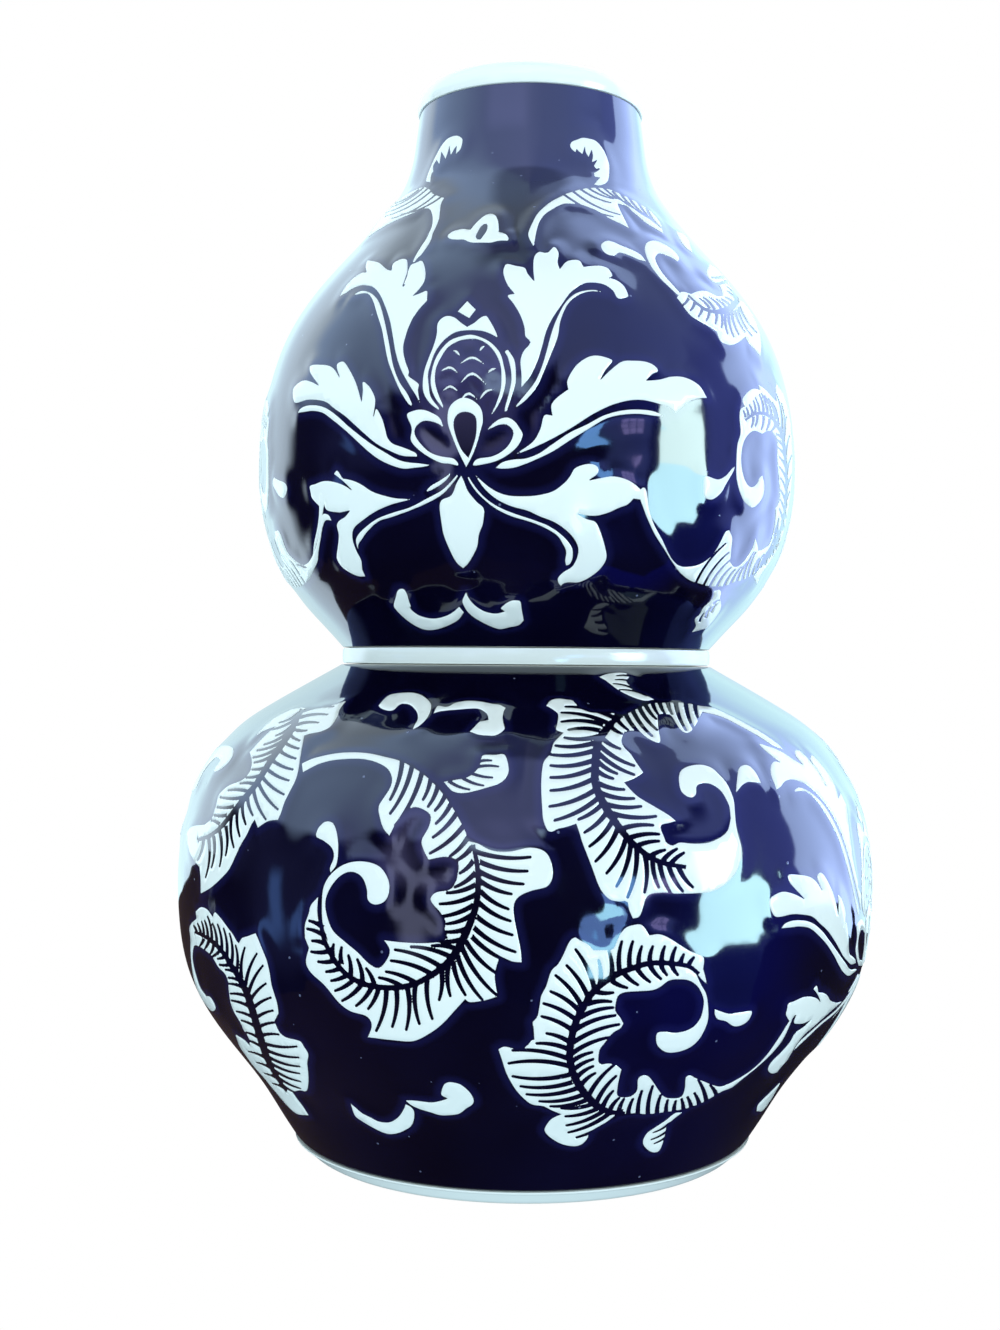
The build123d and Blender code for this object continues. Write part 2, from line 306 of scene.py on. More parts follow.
def stroke(start, end, width, bow):
    """A brush stroke that starts full, thins a little and ends round, on the page."""
    start, end = np.array(start, float), np.array(end, float)
    way = end - start
    size = np.hypot(*way)
    side = np.array([-way[1], way[0]]) / max(size, 1e-9)
    u = np.linspace(0, 1, max(4, int(size / 2.6)))[:, None]
    line = start + way * u + side * bow * size * 4 * u * (1 - u)
    half = width / 2 * (1.2 - 0.62 * u**1.3)
    ahead = way / size * width / 2 * 0.68
    turn = np.radians([60.0, 30.0, 0.0, -30.0, -60.0])[:, None]
    tip = line[-1] + ahead * np.cos(turn) + side * half[-1] * np.sin(turn)
    return np.vstack([line + side * half, tip, (line - side * half)[::-1]])


def ribbon(line, widths):
    """A band along a line, on the page; its widths are given at shares of the length."""
    count = max(8, int(np.hypot(*np.diff(line, axis=0).T).sum() / 4))
    left, right = [], []
    for share in np.linspace(0, 1, count):
        point, way = along(line, share)
        side = np.array([-way[1], way[0]]) * (np.interp(share, *zip(*widths)) / 2)
        left.append(point + side)
        right.append(point - side)
    return np.array(left + right[::-1])


# ---------------------------------------------------------------- leaves as raised plates


def inside(points, ring):
    """Which points lie within a ring."""
    found = np.zeros(len(points), bool)
    near = np.flatnonzero(((points >= ring.min(0)) & (points <= ring.max(0))).all(1))
    if not len(near):
        return found
    q = points[near]
    odd = np.zeros(len(q), bool)
    for (ax, ay), (bx, by) in zip(ring, np.roll(ring, -1, 0)):
        if ay == by:
            continue
        left = q[:, 0] < (bx - ax) * (q[:, 1] - ay) / (by - ay) + ax
        odd ^= ((ay > q[:, 1]) != (by > q[:, 1])) & left
    found[near] = odd
    return found


def within(points, rings):
    """Which points lie within the first ring and in none of the others, its holes."""
    good = inside(points, rings[0])
    for hole in rings[1:]:
        good &= ~inside(points, hole)
    return good


def tree_of(points):
    tree = kdtree.KDTree(len(points))
    for i, p in enumerate(points):
        tree.insert(p, i)
    tree.balance()
    return tree


def thinned(points, least):
    """The points that are left when no two may be closer than the least distance."""
    taken, out = {}, []
    for x, y in points:
        i, j = int(x // least), int(y // least)
        near = [taken.get((i + a, j + b)) for a in (-1, 0, 1) for b in (-1, 0, 1)]
        if all(q is None or math.hypot(q[0] - x, q[1] - y) >= least for q in near):
            taken[i, j] = (x, y)
            out.append((x, y))
    return np.array(out).reshape(-1, 2)


def without_scraps(faces, least=12):
    """The faces without the patches of fewer than the least, which strokes cut loose."""
    label = np.arange(faces.max() + 1)
    while True:
        lower = label.copy()
        np.minimum.at(lower, faces.ravel(), np.repeat(label[faces].min(1), 3))
        lower = lower[lower]
        if (lower == label).all():
            break
        label = lower
    patch = label[faces[:, 0]]
    return faces[np.bincount(patch)[patch] >= least]


def beside(rings):
    """Points on the rings, to measure from, and rows of free points close beside them."""
    on, free = [], []
    for r in rings:
        step = np.roll(r, -1, 0) - r
        size = np.maximum(np.hypot(*step.T), 1e-9)[:, None]
        on += [r + step * u for u in np.arange(0, 1, 0.2)]
        side = np.stack([-step[:, 1], step[:, 0]], 1) / size
        corner = side + np.roll(side, 1, 0)
        corner /= np.maximum(np.hypot(*corner.T), 0.3)[:, None]
        for sign in (1, -1):
            free.append(r + step / 2 + side * FIRST_ROW * sign)
            free.append(r + step / 2 + side * SECOND_ROW * sign)
            free.append(r + corner * SECOND_ROW * sign)
    return np.vstack(on), np.vstack(free)


def grid_over(ring):
    """A grid of points in offset rows that covers a ring."""
    low, high = ring.min(0), ring.max(0)
    xs = np.arange(low[0], high[0], GRID_STEP)
    ys = np.arange(low[1], high[1], GRID_STEP * 0.866)
    x, y = np.meshgrid(xs, ys)
    x = x + (np.arange(len(ys)) % 2)[:, None] * GRID_STEP / 2
    return np.stack([x.ravel(), y.ravel()], 1)


def plate(ring, holes):
    """Triangles of one leaf on the skin: points, faces, and each point's distance from its edge."""
    scale = np.interp(ring[:, 1].mean(), RISE, RADII)
    rings = [r * scale for r in [ring, *holes]]
    on, free = beside(rings)
    edge = tree_of([(x, y, 0) for x, y in on])

    def edge_distance(points):
        return np.array([edge.find((x, y, 0))[2] for x, y in points])

    def kept(points, least):
        points = points[within(points, rings)]
        return points[edge_distance(points) >= least] if len(points) else points

    rows = [thinned(kept(free, ROW_CLEAR), ROW_GAP), kept(grid_over(rings[0]), GRID_CLEAR)]
    verts = [Vector(p) for part in [*rings, *rows] for p in part]
    edges, base = [], 0
    for r in rings:
        n = len(r)
        edges += [(base + i, base + (i + 1) % n) for i in range(n)]
        base += n
    points, _, faces, *_ = delaunay_2d_cdt(verts, edges, [], 0, 1e-4)
    points = np.array([tuple(p) for p in points])
    faces = np.array([f for f in faces if len(f) == 3], int)
    faces = without_scraps(faces[within(points[faces].mean(1), rings)])
    ab, ac = (points[faces[:, i]] - points[faces[:, 0]] for i in (1, 2))
    upside_down = ab[:, 0] * ac[:, 1] - ab[:, 1] * ac[:, 0] < 0
    faces[upside_down] = faces[upside_down][:, ::-1]
    used = np.unique(faces)
    order = np.full(len(points), -1)
    order[used] = np.arange(len(used))
    points, faces = points[used], order[faces]
    pairs = np.sort(np.vstack([faces[:, [0, 1]], faces[:, [1, 2]], faces[:, [2, 0]]]), 1)
    sides, count = np.unique(pairs, axis=0, return_counts=True)
    depth = edge_distance(points)
    depth[np.unique(sides[count == 1])] = 0
    return points / scale, faces, depth


# ---------------------------------------------------------------- the drawn pattern

# Each leaf is drawn on the page: its outline, then what is left blue in it: a hole, a midrib
# with its widths at shares of its length, and brush strokes as their start and end, with
# their width. A point followed by ! is a sharp tip or notch
FEATHER_A = dict(
    outline="""301,763! 315,757 340,752 365,752 385,756 400,760 412,766 424,774 435,784 446,797
    455,811 463,826 470,841! 478,843 492,850 510,851 530,847 545,851 552,863 553,877 547,887
    532,891 519,897 514,906 515,920 518,935 521,950 522,963! 512,962 500,957! 497,966 495,978
    498,997! 485,1001 470,1003 465,1000! 455,1011 443,1024 430,1034 413,1042 392,1041 367,1038!
    371,1026 366,1017 350,1012 338,1003 324,986 310,973 305,962 308,948! 304,938! 304,925 308,913
    310,905 318,896! 317,912 320,928 327,940! 322,925 321,905 323,886 332,872 346,863 363,861
    379,866 388,879 389,892 384,902 374,905 367,900 366,889 361,877 351,872 340,876 330,888 325,902
    327,917 333,931 345,942 357,952 368,963 378,968 386,960 389,950 383,940! 400,942 420,943
    437,942 447,938! 444,930 445,922 440,913 432,904 430,898 436,892 450,889 456,880! 458,868
    457,860! 445,857 428,860! 423,850 421,840 428,827 430,816 424,810 414,807 405,812 396,823
    389,836! 383,829 379,817 378,806 384,796 390,786 391,776 384,766 365,759 340,759 320,763
    302,772!""",
    rib="""473,845 477,865 478,885 476,905 470,923 461,943 450,960 435,973 415,984 395,988 375,987
    360,983 345,974 335,962 328,950 323,938 320,922 319,902""",
    widths=[(0, 3), (0.15, 5), (0.3, 7), (0.5, 5), (0.85, 4), (1, 2)],
    strokes="""401,761,390,799 411,765,390,813 421,771,395,825 430,776,423,799 437,785,428,806
    444,795,435,810 450,803,436,823 456,812,433,837 462,826,430,853 467,837,450,856 471,848,455,861
    473,861,460,873 475,873,455,887 475,885,447,893 475,895,440,904 472,906,438,917 470,916,447,924
    466,929,444,932 460,940,437,941 456,949,432,946 452,958,411,947 442,968,395,950 434,976,391,961
    418,985,386,972 403,988,379,978 374,986,366,969 362,982,357,960 350,976,348,956 341,964,341,948
    332,955,333,945 474,851,530,857 480,862,527,871 480,872,523,884 480,881,511,894 481,892,508,909
    479,903,510,921 477,917,512,935 474,928,515,952 472,937,509,962 466,942,497,974 462,948,496,995
    457,955,482,1000 453,962,465,995 448,967,450,996 441,970,439,1000 427,979,432,1019
    415,985,419,1024 407,988,406,1030 396,989,392,1027 386,990,376,1031 378,989,368,1009
    371,988,356,1006 361,985,342,1001 353,980,335,991 347,975,331,981 340,968,326,972
    333,961,318,962 330,951,311,952 325,944,312,941 321,935,307,929 319,926,309,921""",
)
FEATHER_B = dict(
    outline="""546,705! 550,700 558,698 567,699 573,700 578,705 583,709 593,712 607,712 615,713
    621,716 629,712 637,708 650,703 665,702 683,702 699,705! 712,707 724,712 740,720 760,731
    775,741 785,750! 772,744 758,735 740,725 722,716 703,711! 700,717 697,723 691,731 685,732
    679,727 673,717 670,714! 664,713 658,714! 659,728 661,740 657,742 647,737 640,731! 632,730
    625,731! 622,740 625,747 631,753 637,762 644,772! 640,775 633,779 625,782! 631,789 640,797
    657,807 670,815 677,821! 670,823 662,825 662,830 665,837 667,842 673,845 680,842 692,843
    706,843 719,838 728,830 731,818! 730,808 728,802 723,793 717,787 708,783 700,784 697,787
    697,793 694,797 689,797 683,793 680,787 679,777 681,770 687,766 695,764 703,764 712,767 720,774
    727,782 732,792 735,802 736,815 738,832 742,848 739,868 728,883 712,892 692,894! 673,894
    667,893 653,894 647,898 644,907 640,917 633,919! 629,910 627,902 620,902 610,900 602,892
    597,882 592,868 587,855 582,842 579,832 576,824! 567,827 558,829 552,832 547,830 543,820
    542,810 541,793 541,780 542,768 544,760 550,753 553,743 558,737 563,732! 556,729 557,723
    558,716 557,712 550,707""",
    rib="""622,715 612,722 604,732 598,742 596,755 595,770 596,785 602,800 611,815 623,832 636,846
    652,858 668,864 686,867""",
    widths=[(0, 3), (0.1, 7), (0.5, 7), (0.75, 5), (1, 3)],
    strokes="""614,717,566,706 609,723,562,712 603,724,562,721 600,730,569,729 597,736,565,737
    595,742,556,745 594,750,551,754 593,760,551,765 593,768,551,777 594,778,551,790 596,789,550,806
    599,797,555,820 603,803,579,819 607,812,585,832 613,820,590,846 618,828,596,861 626,839,607,873
    631,844,617,886 637,849,628,897 645,854,645,892 653,859,659,887 660,862,671,893 669,865,683,891
    679,867,693,887 603,738,620,748 600,745,634,765 598,752,634,774 597,760,617,773 597,770,613,778
    599,783,624,789 602,793,634,798 607,804,641,806 612,813,656,816 621,829,653,825 629,838,659,834
    637,846,659,841 651,856,665,850 663,861,677,849 671,864,684,853 610,725,622,733 617,717,628,729
    627,714,645,737 634,710,652,735 641,708,657,729 647,705,656,718 654,704,658,713 661,703,665,713
    669,703,672,713 677,703,686,729 687,703,694,728 696,704,699,719""",
)
FEATHER_C = dict(
    outline="""498,1050! 504,1047 514,1049 521,1050 528,1045 531,1041 534,1040! 533,1027 532,1023
    537,1017 539,1007 541,996 546,986 551,971 558,964 564,953 569,942 575,937 580,940 588,944
    594,950! 605,950 613,949 617,941 621,933 627,927 638,924 644,926 650,935! 660,934 670,938
    681,945 691,951 703,956 705,961 704,969! 706,976 708,985! 703,981 697,974! 702,985 707,994
    709,1007 709,1019 706,1029 699,1041 689,1049 677,1053 666,1053 658,1047 656,1039 658,1033
    666,1032 677,1033 689,1030 697,1024 702,1015 704,1003 702,994 697,986 689,981 681,980 670,981
    660,988 652,991 638,992 625,993 619,996 617,1001 616,1011 621,1018 624,1024! 621,1029 613,1034
    605,1044 600,1051 599,1062 602,1065! 609,1064 617,1066 622,1070! 620,1078 618,1089 618,1096
    623,1098 631,1097 637,1091 638,1080 643,1076 649,1077 654,1083 660,1092 666,1098 675,1099
    682,1097 685,1089 686,1078 691,1076 695,1078! 702,1081 712,1085 722,1087 736,1081 753,1070
    767,1056 779,1039 789,1023 796,1012! 785,1037 773,1053 757,1068 742,1080 732,1088 722,1092!
    712,1098 703,1103 693,1107 683,1110 664,1113 646,1115 633,1114 621,1117! 613,1120 601,1126
    590,1133 588,1139 582,1145 574,1147 562,1145 551,1139 545,1133 545,1128 551,1120 561,1115!
    551,1111 543,1107 531,1105 521,1097 513,1087 506,1074 502,1062""",
    rib="""625,1114 612,1113 601,1109 591,1101 581,1089 574,1076 570,1059 571,1043 574,1029
    578,1018 584,1007 591,995 600,986 610,979 621,973 634,968 647,964 660,963 675,964 690,967
    699,974""",
    widths=[(0, 3), (0.12, 7), (0.5, 6), (0.8, 4.5), (1, 3)],
    strokes="""600,986,599,961 595,991,576,950 589,1000,567,966 582,1007,556,976 580,1012,551,992
    578,1022,544,1004 574,1032,542,1017 570,1043,547,1034 569,1050,537,1044 570,1060,513,1051
    570,1067,509,1064 571,1075,513,1077 572,1083,521,1087 577,1089,527,1095 584,1095,540,1102
    588,1100,551,1107 594,1104,562,1109 600,1108,566,1117 606,1110,567,1126 612,1112,569,1133
    620,1114,577,1138 612,976,609,951 620,972,622,942 630,968,633,942 639,966,642,947
    650,963,653,947 662,963,665,947 672,964,676,948 681,965,684,955 689,966,694,958 596,992,613,993
    589,1004,611,1002 582,1017,613,1008 576,1030,615,1016 572,1044,619,1025 571,1055,609,1038
    571,1063,592,1053 573,1071,593,1060 577,1078,593,1067 581,1086,595,1074 588,1098,614,1066
    596,1105,616,1077 612,981,627,988 624,973,638,985 637,968,650,982 650,965,661,979
    661,964,667,975 672,965,678,975 603,1108,613,1092 610,1111,619,1099 619,1113,624,1100
    629,1115,633,1100 639,1116,642,1092 649,1115,653,1087 658,1114,661,1096 667,1112,668,1101
    675,1111,676,1102 683,1110,682,1100 691,1108,688,1098 699,1105,695,1094 706,1102,699,1081
    716,1095,711,1086""",
)
FEATHER_D = dict(
    outline="""346,700! 340,708 337,716 330,726 320,731 310,733 304,735! 302,745 300,757 298,770
    295,780 290,790 284,802 280,814 277,820! 268,821 261,825 257,828! 254,820! 251,824 246,835
    240,845 234,858 228,870 219,880 210,888 200,894! 200,880 199,868! 194,862 190,855 187,845
    186,834 191,826 204,824! 211,818 214,810 216,803 218,795 223,789 230,784 238,781 245,777
    250,770! 251,762 249,752! 258,742 266,734 275,726! 262,731 254,737! 268,722 282,713 298,707
    310,708 322,706 335,704""",
    rib="""302,709 297,718 290,731 281,745 271,759 263,772 256,783 249,792 242,800 235,809 227,819
    218,829 208,836 197,840""",
    widths=[(0, 3), (0.15, 6), (0.7, 5), (1, 2.5)],
    strokes="""302,711,333,706 300,717,327,714 297,724,318,722 294,729,306,730 288,733,299,740
    283,741,298,748 279,750,295,758 272,760,292,769 267,769,288,780 262,777,283,794 258,783,277,809
    253,790,265,819 247,797,252,815 242,803,245,824 237,808,239,836 231,816,233,847 225,826,225,855
    219,831,219,866 213,836,211,867 208,838,205,877 203,840,197,860 256,784,240,783 247,791,228,790
    242,797,220,797 233,806,217,807 226,815,214,815 219,824,211,820 262,774,246,777 268,766,252,769
    272,755,254,762 278,747,253,757 283,740,257,750 289,731,264,744 293,724,276,735 296,718,272,729
    298,713,280,722""",
    stroke=2.6,
)
FEATHER_E = dict(
    outline="""195,911! 200,907 206,909 210,914 212,917! 214,912 220,918 226,926 232,934 236,941
    238,943! 241,938 247,936 252,934 255,933! 258,940 262,950 266,960 269,972 271,985 274,995
    277,1005 278,1014! 276,1018 274,1022! 277,1029 280,1034 286,1038 294,1040 300,1042 304,1048
    308,1055 307,1064 308,1075 308,1085 306,1092 300,1091 292,1093! 297,1100 303,1108 308,1116!
    298,1115 290,1109 281,1099 271,1087 262,1076 253,1066 245,1055 239,1046 235,1035! 243,1040
    249,1046! 248,1038 243,1030 240,1023 234,1013 230,1003 228,990 227,980 224,974 218,968 212,958
    206,952 200,948 194,946 192,952 192,962 195,975 199,987 205,996! 209,997 213,1003 215,1009
    212,1012 207,1007 202,1000 197,990 193,977 191,963 190,950 190,938 189,930 190,924 196,918!""",
    rib="""194,932 205,937 212,942 218,948 224,955 230,965 236,974 241,983 246,993 250,1005
    254,1018 258,1032 262,1045 266,1057 272,1070 279,1082 286,1092""",
    widths=[(0, 2.5), (0.3, 5), (0.5, 7), (0.75, 7), (1, 2.5)],
    strokes="""196,932,193,926 200,935,197,924 203,937,201,922 207,939,204,921 211,941,207,917
    216,945,212,924 221,951,217,925 226,957,223,929 231,963,229,934 236,971,235,946 241,978,244,948
    245,985,256,954 248,993,262,966 250,1000,265,984 253,1008,270,998 256,1018,272,1011
    259,1027,275,1023 261,1036,278,1035 264,1044,296,1047 267,1051,298,1058 269,1058,299,1067
    271,1064,299,1074 273,1070,300,1082 277,1077,300,1089 281,1084,295,1093 203,939,199,946
    208,941,204,949 213,945,209,955 219,951,211,957 224,957,217,959 229,965,219,965 234,972,225,970
    239,981,228,978 243,988,228,984 247,997,230,994 250,1008,231,1001 254,1019,236,1012
    257,1029,241,1021 260,1040,246,1033 263,1049,244,1040 267,1060,248,1052 272,1070,256,1063
    278,1080,264,1074 284,1089,272,1084""",
    stroke=2.6,
)
LOWER_LEAVES = [
    dict(
        outline="""443,781! 455,779 468,776 478,767 481,757 484,754 495,754 505,754 509,768 507,776
    500,783 485,788 470,792 460,793 452,791 447,786""",
        strokes="481,761,491,760 478,767,498,766 472,772,492,777 465,778,483,785 452,782,469,789",
        stroke=2.2,
    ),
    dict(
        outline="""599,676! 608,673 622,672 630,675 627,680 630,685 635,690 645,694 655,699!
    645,700 632,696 618,689 606,680""",
        strokes="630,676,617,675 630,681,616,679 632,688,614,683 643,694,620,689",
        stroke=1.8,
    ),
    dict(
        outline="""683,1113! 675,1114 666,1121 654,1129 647,1134 643,1142 645,1148 652,1153
    659,1152 663,1145 666,1134 668,1126 675,1119""",
        strokes="666,1126,654,1133 667,1131,652,1140 667,1136,655,1144",
        stroke=1.8,
    ),
    dict(outline="757,1112! 759,1105 771,1093 781,1083! 773,1097 763,1111"),
]
LOWER_COMMAS = [
    """315,835 318,827 325,821 333,823 337,835 338,850 336,865 330,873! 329,868 333,857 331,848
    323,841 317,838""",
    """738,773 739,768 742,765 747,764 752,767 757,773 762,783! 755,782 748,782 742,786 736,794!
    737,783""",
    """715,1009! 720,1011 730,1014 736,1013 744,1012 751,1011 753,1013 749,1021 742,1026 734,1027
    726,1022 718,1020 715,1015""",
    """191,792! 192,780 196,770 203,759 212,750 221,745 229,745 233,749 232,756 227,763 220,769
    213,772! 215,767 219,761 216,757 211,761 205,768 200,777 196,786""",
    """378,705! 382,700 388,695 395,693 405,692 413,692 421,694 427,698 431,703 431,709 428,716
    424,721 418,726 412,729! 414,724 417,719 417,713 414,708 409,704 402,703 398,705 394,709
    388,710 381,708""",
    """433,713! 435,708 438,705 447,706 453,703 460,701 470,700 482,701 492,703 500,704 506,707!
    504,711 503,717 504,723 505,728 501,732 495,735 487,735 478,734 472,732 469,731! 474,726
    479,721 484,720 488,719! 487,714 484,711 478,708 468,708 455,709 445,710 438,711""",
    """350,1104! 356,1109 362,1114 370,1118 378,1122 388,1123 395,1120 400,1115 403,1110 405,1105!
    410,1107 414,1112 414,1120 411,1127 405,1131 398,1134 390,1135 382,1133 372,1128 362,1122
    355,1117 352,1111""",
    """405,1101! 412,1101 421,1102 432,1103 442,1101 447,1099! 441,1096 441,1092 443,1086 447,1083
    453,1083 460,1085 467,1090 472,1096 474,1102 472,1106 467,1109 462,1113 458,1115 450,1116
    440,1116 430,1113 420,1110 411,1106""",
]
LOTUS = [
    dict(
        outline="""466,468! 458,452 451,435 447,422 448,409 454,401 463,397 473,400 481,408 483,420
    480,433 474,452""",
        holes=["""464,412 458,414 454,420 454,428 457,439 462,450 468,457! 471,450 475,437 476,426
    475,417 470,413"""],
    ),
    dict(outline="""458,466 449,464 440,463 428,457 417,449 410,440 411,428 406,415 411,411 421,409
    431,412 440,418 444,429! 438,424 428,421 421,422 415,428 415,435 421,444 430,452 441,456
    453,458 458,463"""),
    dict(outline="""473,466 486,464 497,461 508,455 518,446 523,435 520,428 515,421 508,417 501,418
    494,422 485,431! 492,428 499,425 507,425 513,432 510,442 503,450 492,456 479,458 474,461"""),
    dict(outline="""461,475! 456,483 451,495 441,500 439,508 441,524 443,535 449,550 456,563
    463,569! 469,563 477,548 479,535 483,524 484,509 477,502 468,491 464,481"""),
    dict(outline="""472,471! 482,481 494,490 507,495 523,496 538,495 553,491 564,483 570,476
    575,468 585,464 594,464 599,468 598,474 590,480! 600,478 612,476 624,478 634,483 641,489!
    645,487 648,495 643,500 634,499! 628,505 620,508 609,513 598,516 587,516 578,514! 587,519
    596,522 601,532 605,545 607,558 601,569 590,578 579,583 570,583 564,584 561,587! 558,583
    558,578 564,572 572,567 577,558 578,548 573,538 564,529 553,522 540,517 527,511 512,507 497,500
    484,489 475,476"""),
    dict(outline="""467,474! 477,489 488,500 501,508 516,514 534,520 549,526 562,535 572,547
    573,558 570,565 566,566! 565,561 566,552 563,545 557,536 544,528 529,522 512,517 497,510
    486,502 475,491 468,480"""),
    dict(outline="450,473! 440,480 430,486 424,493! 432,490 442,484 449,477"),
    dict(outline="""410,499! 395,498 382,495 371,491 362,485 354,481 347,479 342,478 339,473
    336,470 333,474! 338,478 344,483 351,490! 345,486 338,483 330,481 322,481 314,484 309,486
    310,493 311,498 315,503 320,508! 321,501 323,501! 324,507 327,511 338,513 344,512 349,511!
    344,517 338,521 336,526 338,535 337,547 336,558 341,567 349,573 358,577 365,577! 362,570
    361,561 357,553 353,543 352,535 354,528 362,521 375,512 391,505 410,500!"""),
    dict(outline="""457,474! 449,483 440,491 427,498 410,507 391,513 376,519 365,527 358,534
    355,541 358,552! 358,545 362,539 367,532 378,522 393,517 412,510 430,502 443,494 453,483
    458,476"""),
    dict(outline="""420,403! 418,390 419,384 413,379 408,375 409,371 405,360 403,347 406,334
    411,321 418,310 427,300! 427,290 421,292 413,295! 421,286 425,278 425,268 422,260 416,262
    411,264 408,269 403,284! 407,273 407,260 403,258 397,260 392,264 391,270! 386,268 379,262
    371,260 367,260 365,266 366,272! 362,272 354,277 346,285 339,296! 346,292 352,288 360,285
    366,285 373,287 379,294 384,305 389,320 392,336 395,353 400,369 408,384 415,395 419,403!"""),
    dict(outline="""352,295! 357,292 362,290 368,291 374,295 379,302 383,315 387,333 390,349
    393,365 399,381 407,393 412,404 411,406! 407,403 399,390 392,374 387,360 384,345 381,329
    376,313 372,300 366,293"""),
    dict(outline="""417,457! 416,453 408,449 400,446 392,443 387,437 385,429 382,419 376,408
    373,416! 375,401 373,393 368,385 362,381 362,390 361,401! 358,390 355,381 349,369 343,361
    337,363 336,368 339,377! 334,369 328,365 318,364 310,365 309,371 312,377 318,385! 310,381
    302,380 294,386 292,393 293,401 296,403 306,400 315,400 325,402 334,409 344,416 354,425 365,435
    376,444 389,451 402,456"""),
    dict(outline="""297,413! 300,408 307,405 317,405 326,408 336,415 347,425 358,434 370,443
    383,451 397,459 408,462 419,463 432,465! 424,467 415,468 403,469 392,466 379,460 368,452
    357,442 344,430 333,421 322,413 312,411 304,412"""),
    dict(outline="""438,410! 429,403 423,393 422,382 424,369 429,355 433,345 436,334 437,323
    442,317 448,315 455,317 461,322 467,326! 474,322 480,317 486,315 490,320 495,329 499,339!
    493,335 483,331 472,330 459,331 450,335 442,342 435,352 431,363 428,374 429,387 431,397
    439,408"""),
    dict(outline="""508,349! 514,358 516,368 516,381 513,393 507,411! 504,410 509,391 511,379
    510,367 507,356 504,351"""),
    dict(outline="""443,409! 434,397 430,384 431,371 435,358 442,347 451,339 463,335 472,334
    482,337 491,342 500,352 504,365 506,379 503,395 496,409 488,419! 495,405 500,390 501,377
    500,365 495,353 487,344 477,339 467,339 458,341 448,347 441,357 436,368 435,381 438,393
    443,405"""),
    dict(outline="467,300! 476,309! 469,318! 457,311!"),
    dict(outline="""521,388! 521,374 520,361 523,351 530,342 525,336 524,327 520,315 513,303
    507,295 514,293! 507,284 503,273 504,266 507,263 516,265 525,267 528,273 534,280! 533,268
    534,256 539,251 547,252 554,246 559,252 558,261 560,268! 566,261 573,259 580,260 584,266!
    592,265 601,265 609,268 613,275 610,277! 618,280 625,286 629,295 627,297 618,298 613,290
    604,284 592,282 582,284 571,292 563,303 554,316 547,330 542,348 537,363 530,377"""),
    dict(outline="""514,409! 526,400 537,387 544,372 551,355 558,337 561,320 568,304 578,295
    591,291 607,292! 592,289 577,292 566,301 558,315 552,330 547,348 542,365 535,381 525,394
    516,405"""),
    dict(outline="""514,455! 521,450 533,441 540,429 544,415 552,415! 551,405 556,398 565,391
    568,389! 567,381 571,372 578,363 589,356 599,355 610,358 613,361 606,370 601,379! 610,370
    622,361 634,360 646,361 655,365 659,371 653,374 647,380! 660,379 672,376 686,377 700,385
    708,398! 697,399 686,404 676,413! 668,407 656,403 642,400 627,401 610,406 592,415 575,426
    558,436 540,445 526,451"""),
    dict(outline="""495,468! 502,462 514,459 526,458 539,453 552,444 570,432 587,424 604,415
    622,410 639,409 655,411 666,417! 655,416 639,414 622,415 606,419 589,429 571,440 554,451
    540,458 526,464 514,468 502,469"""),
]
SCALES = """459,384,472,373,487,385 459,364,472,357,486,365 440,371,450,367,459,374
    442,391,450,386,459,392 487,373,492,369,497,368 479,400,486,391,495,389 452,350,456,351,460,356
    479,351,482,347,485,345 459,402,468,393,478,400"""
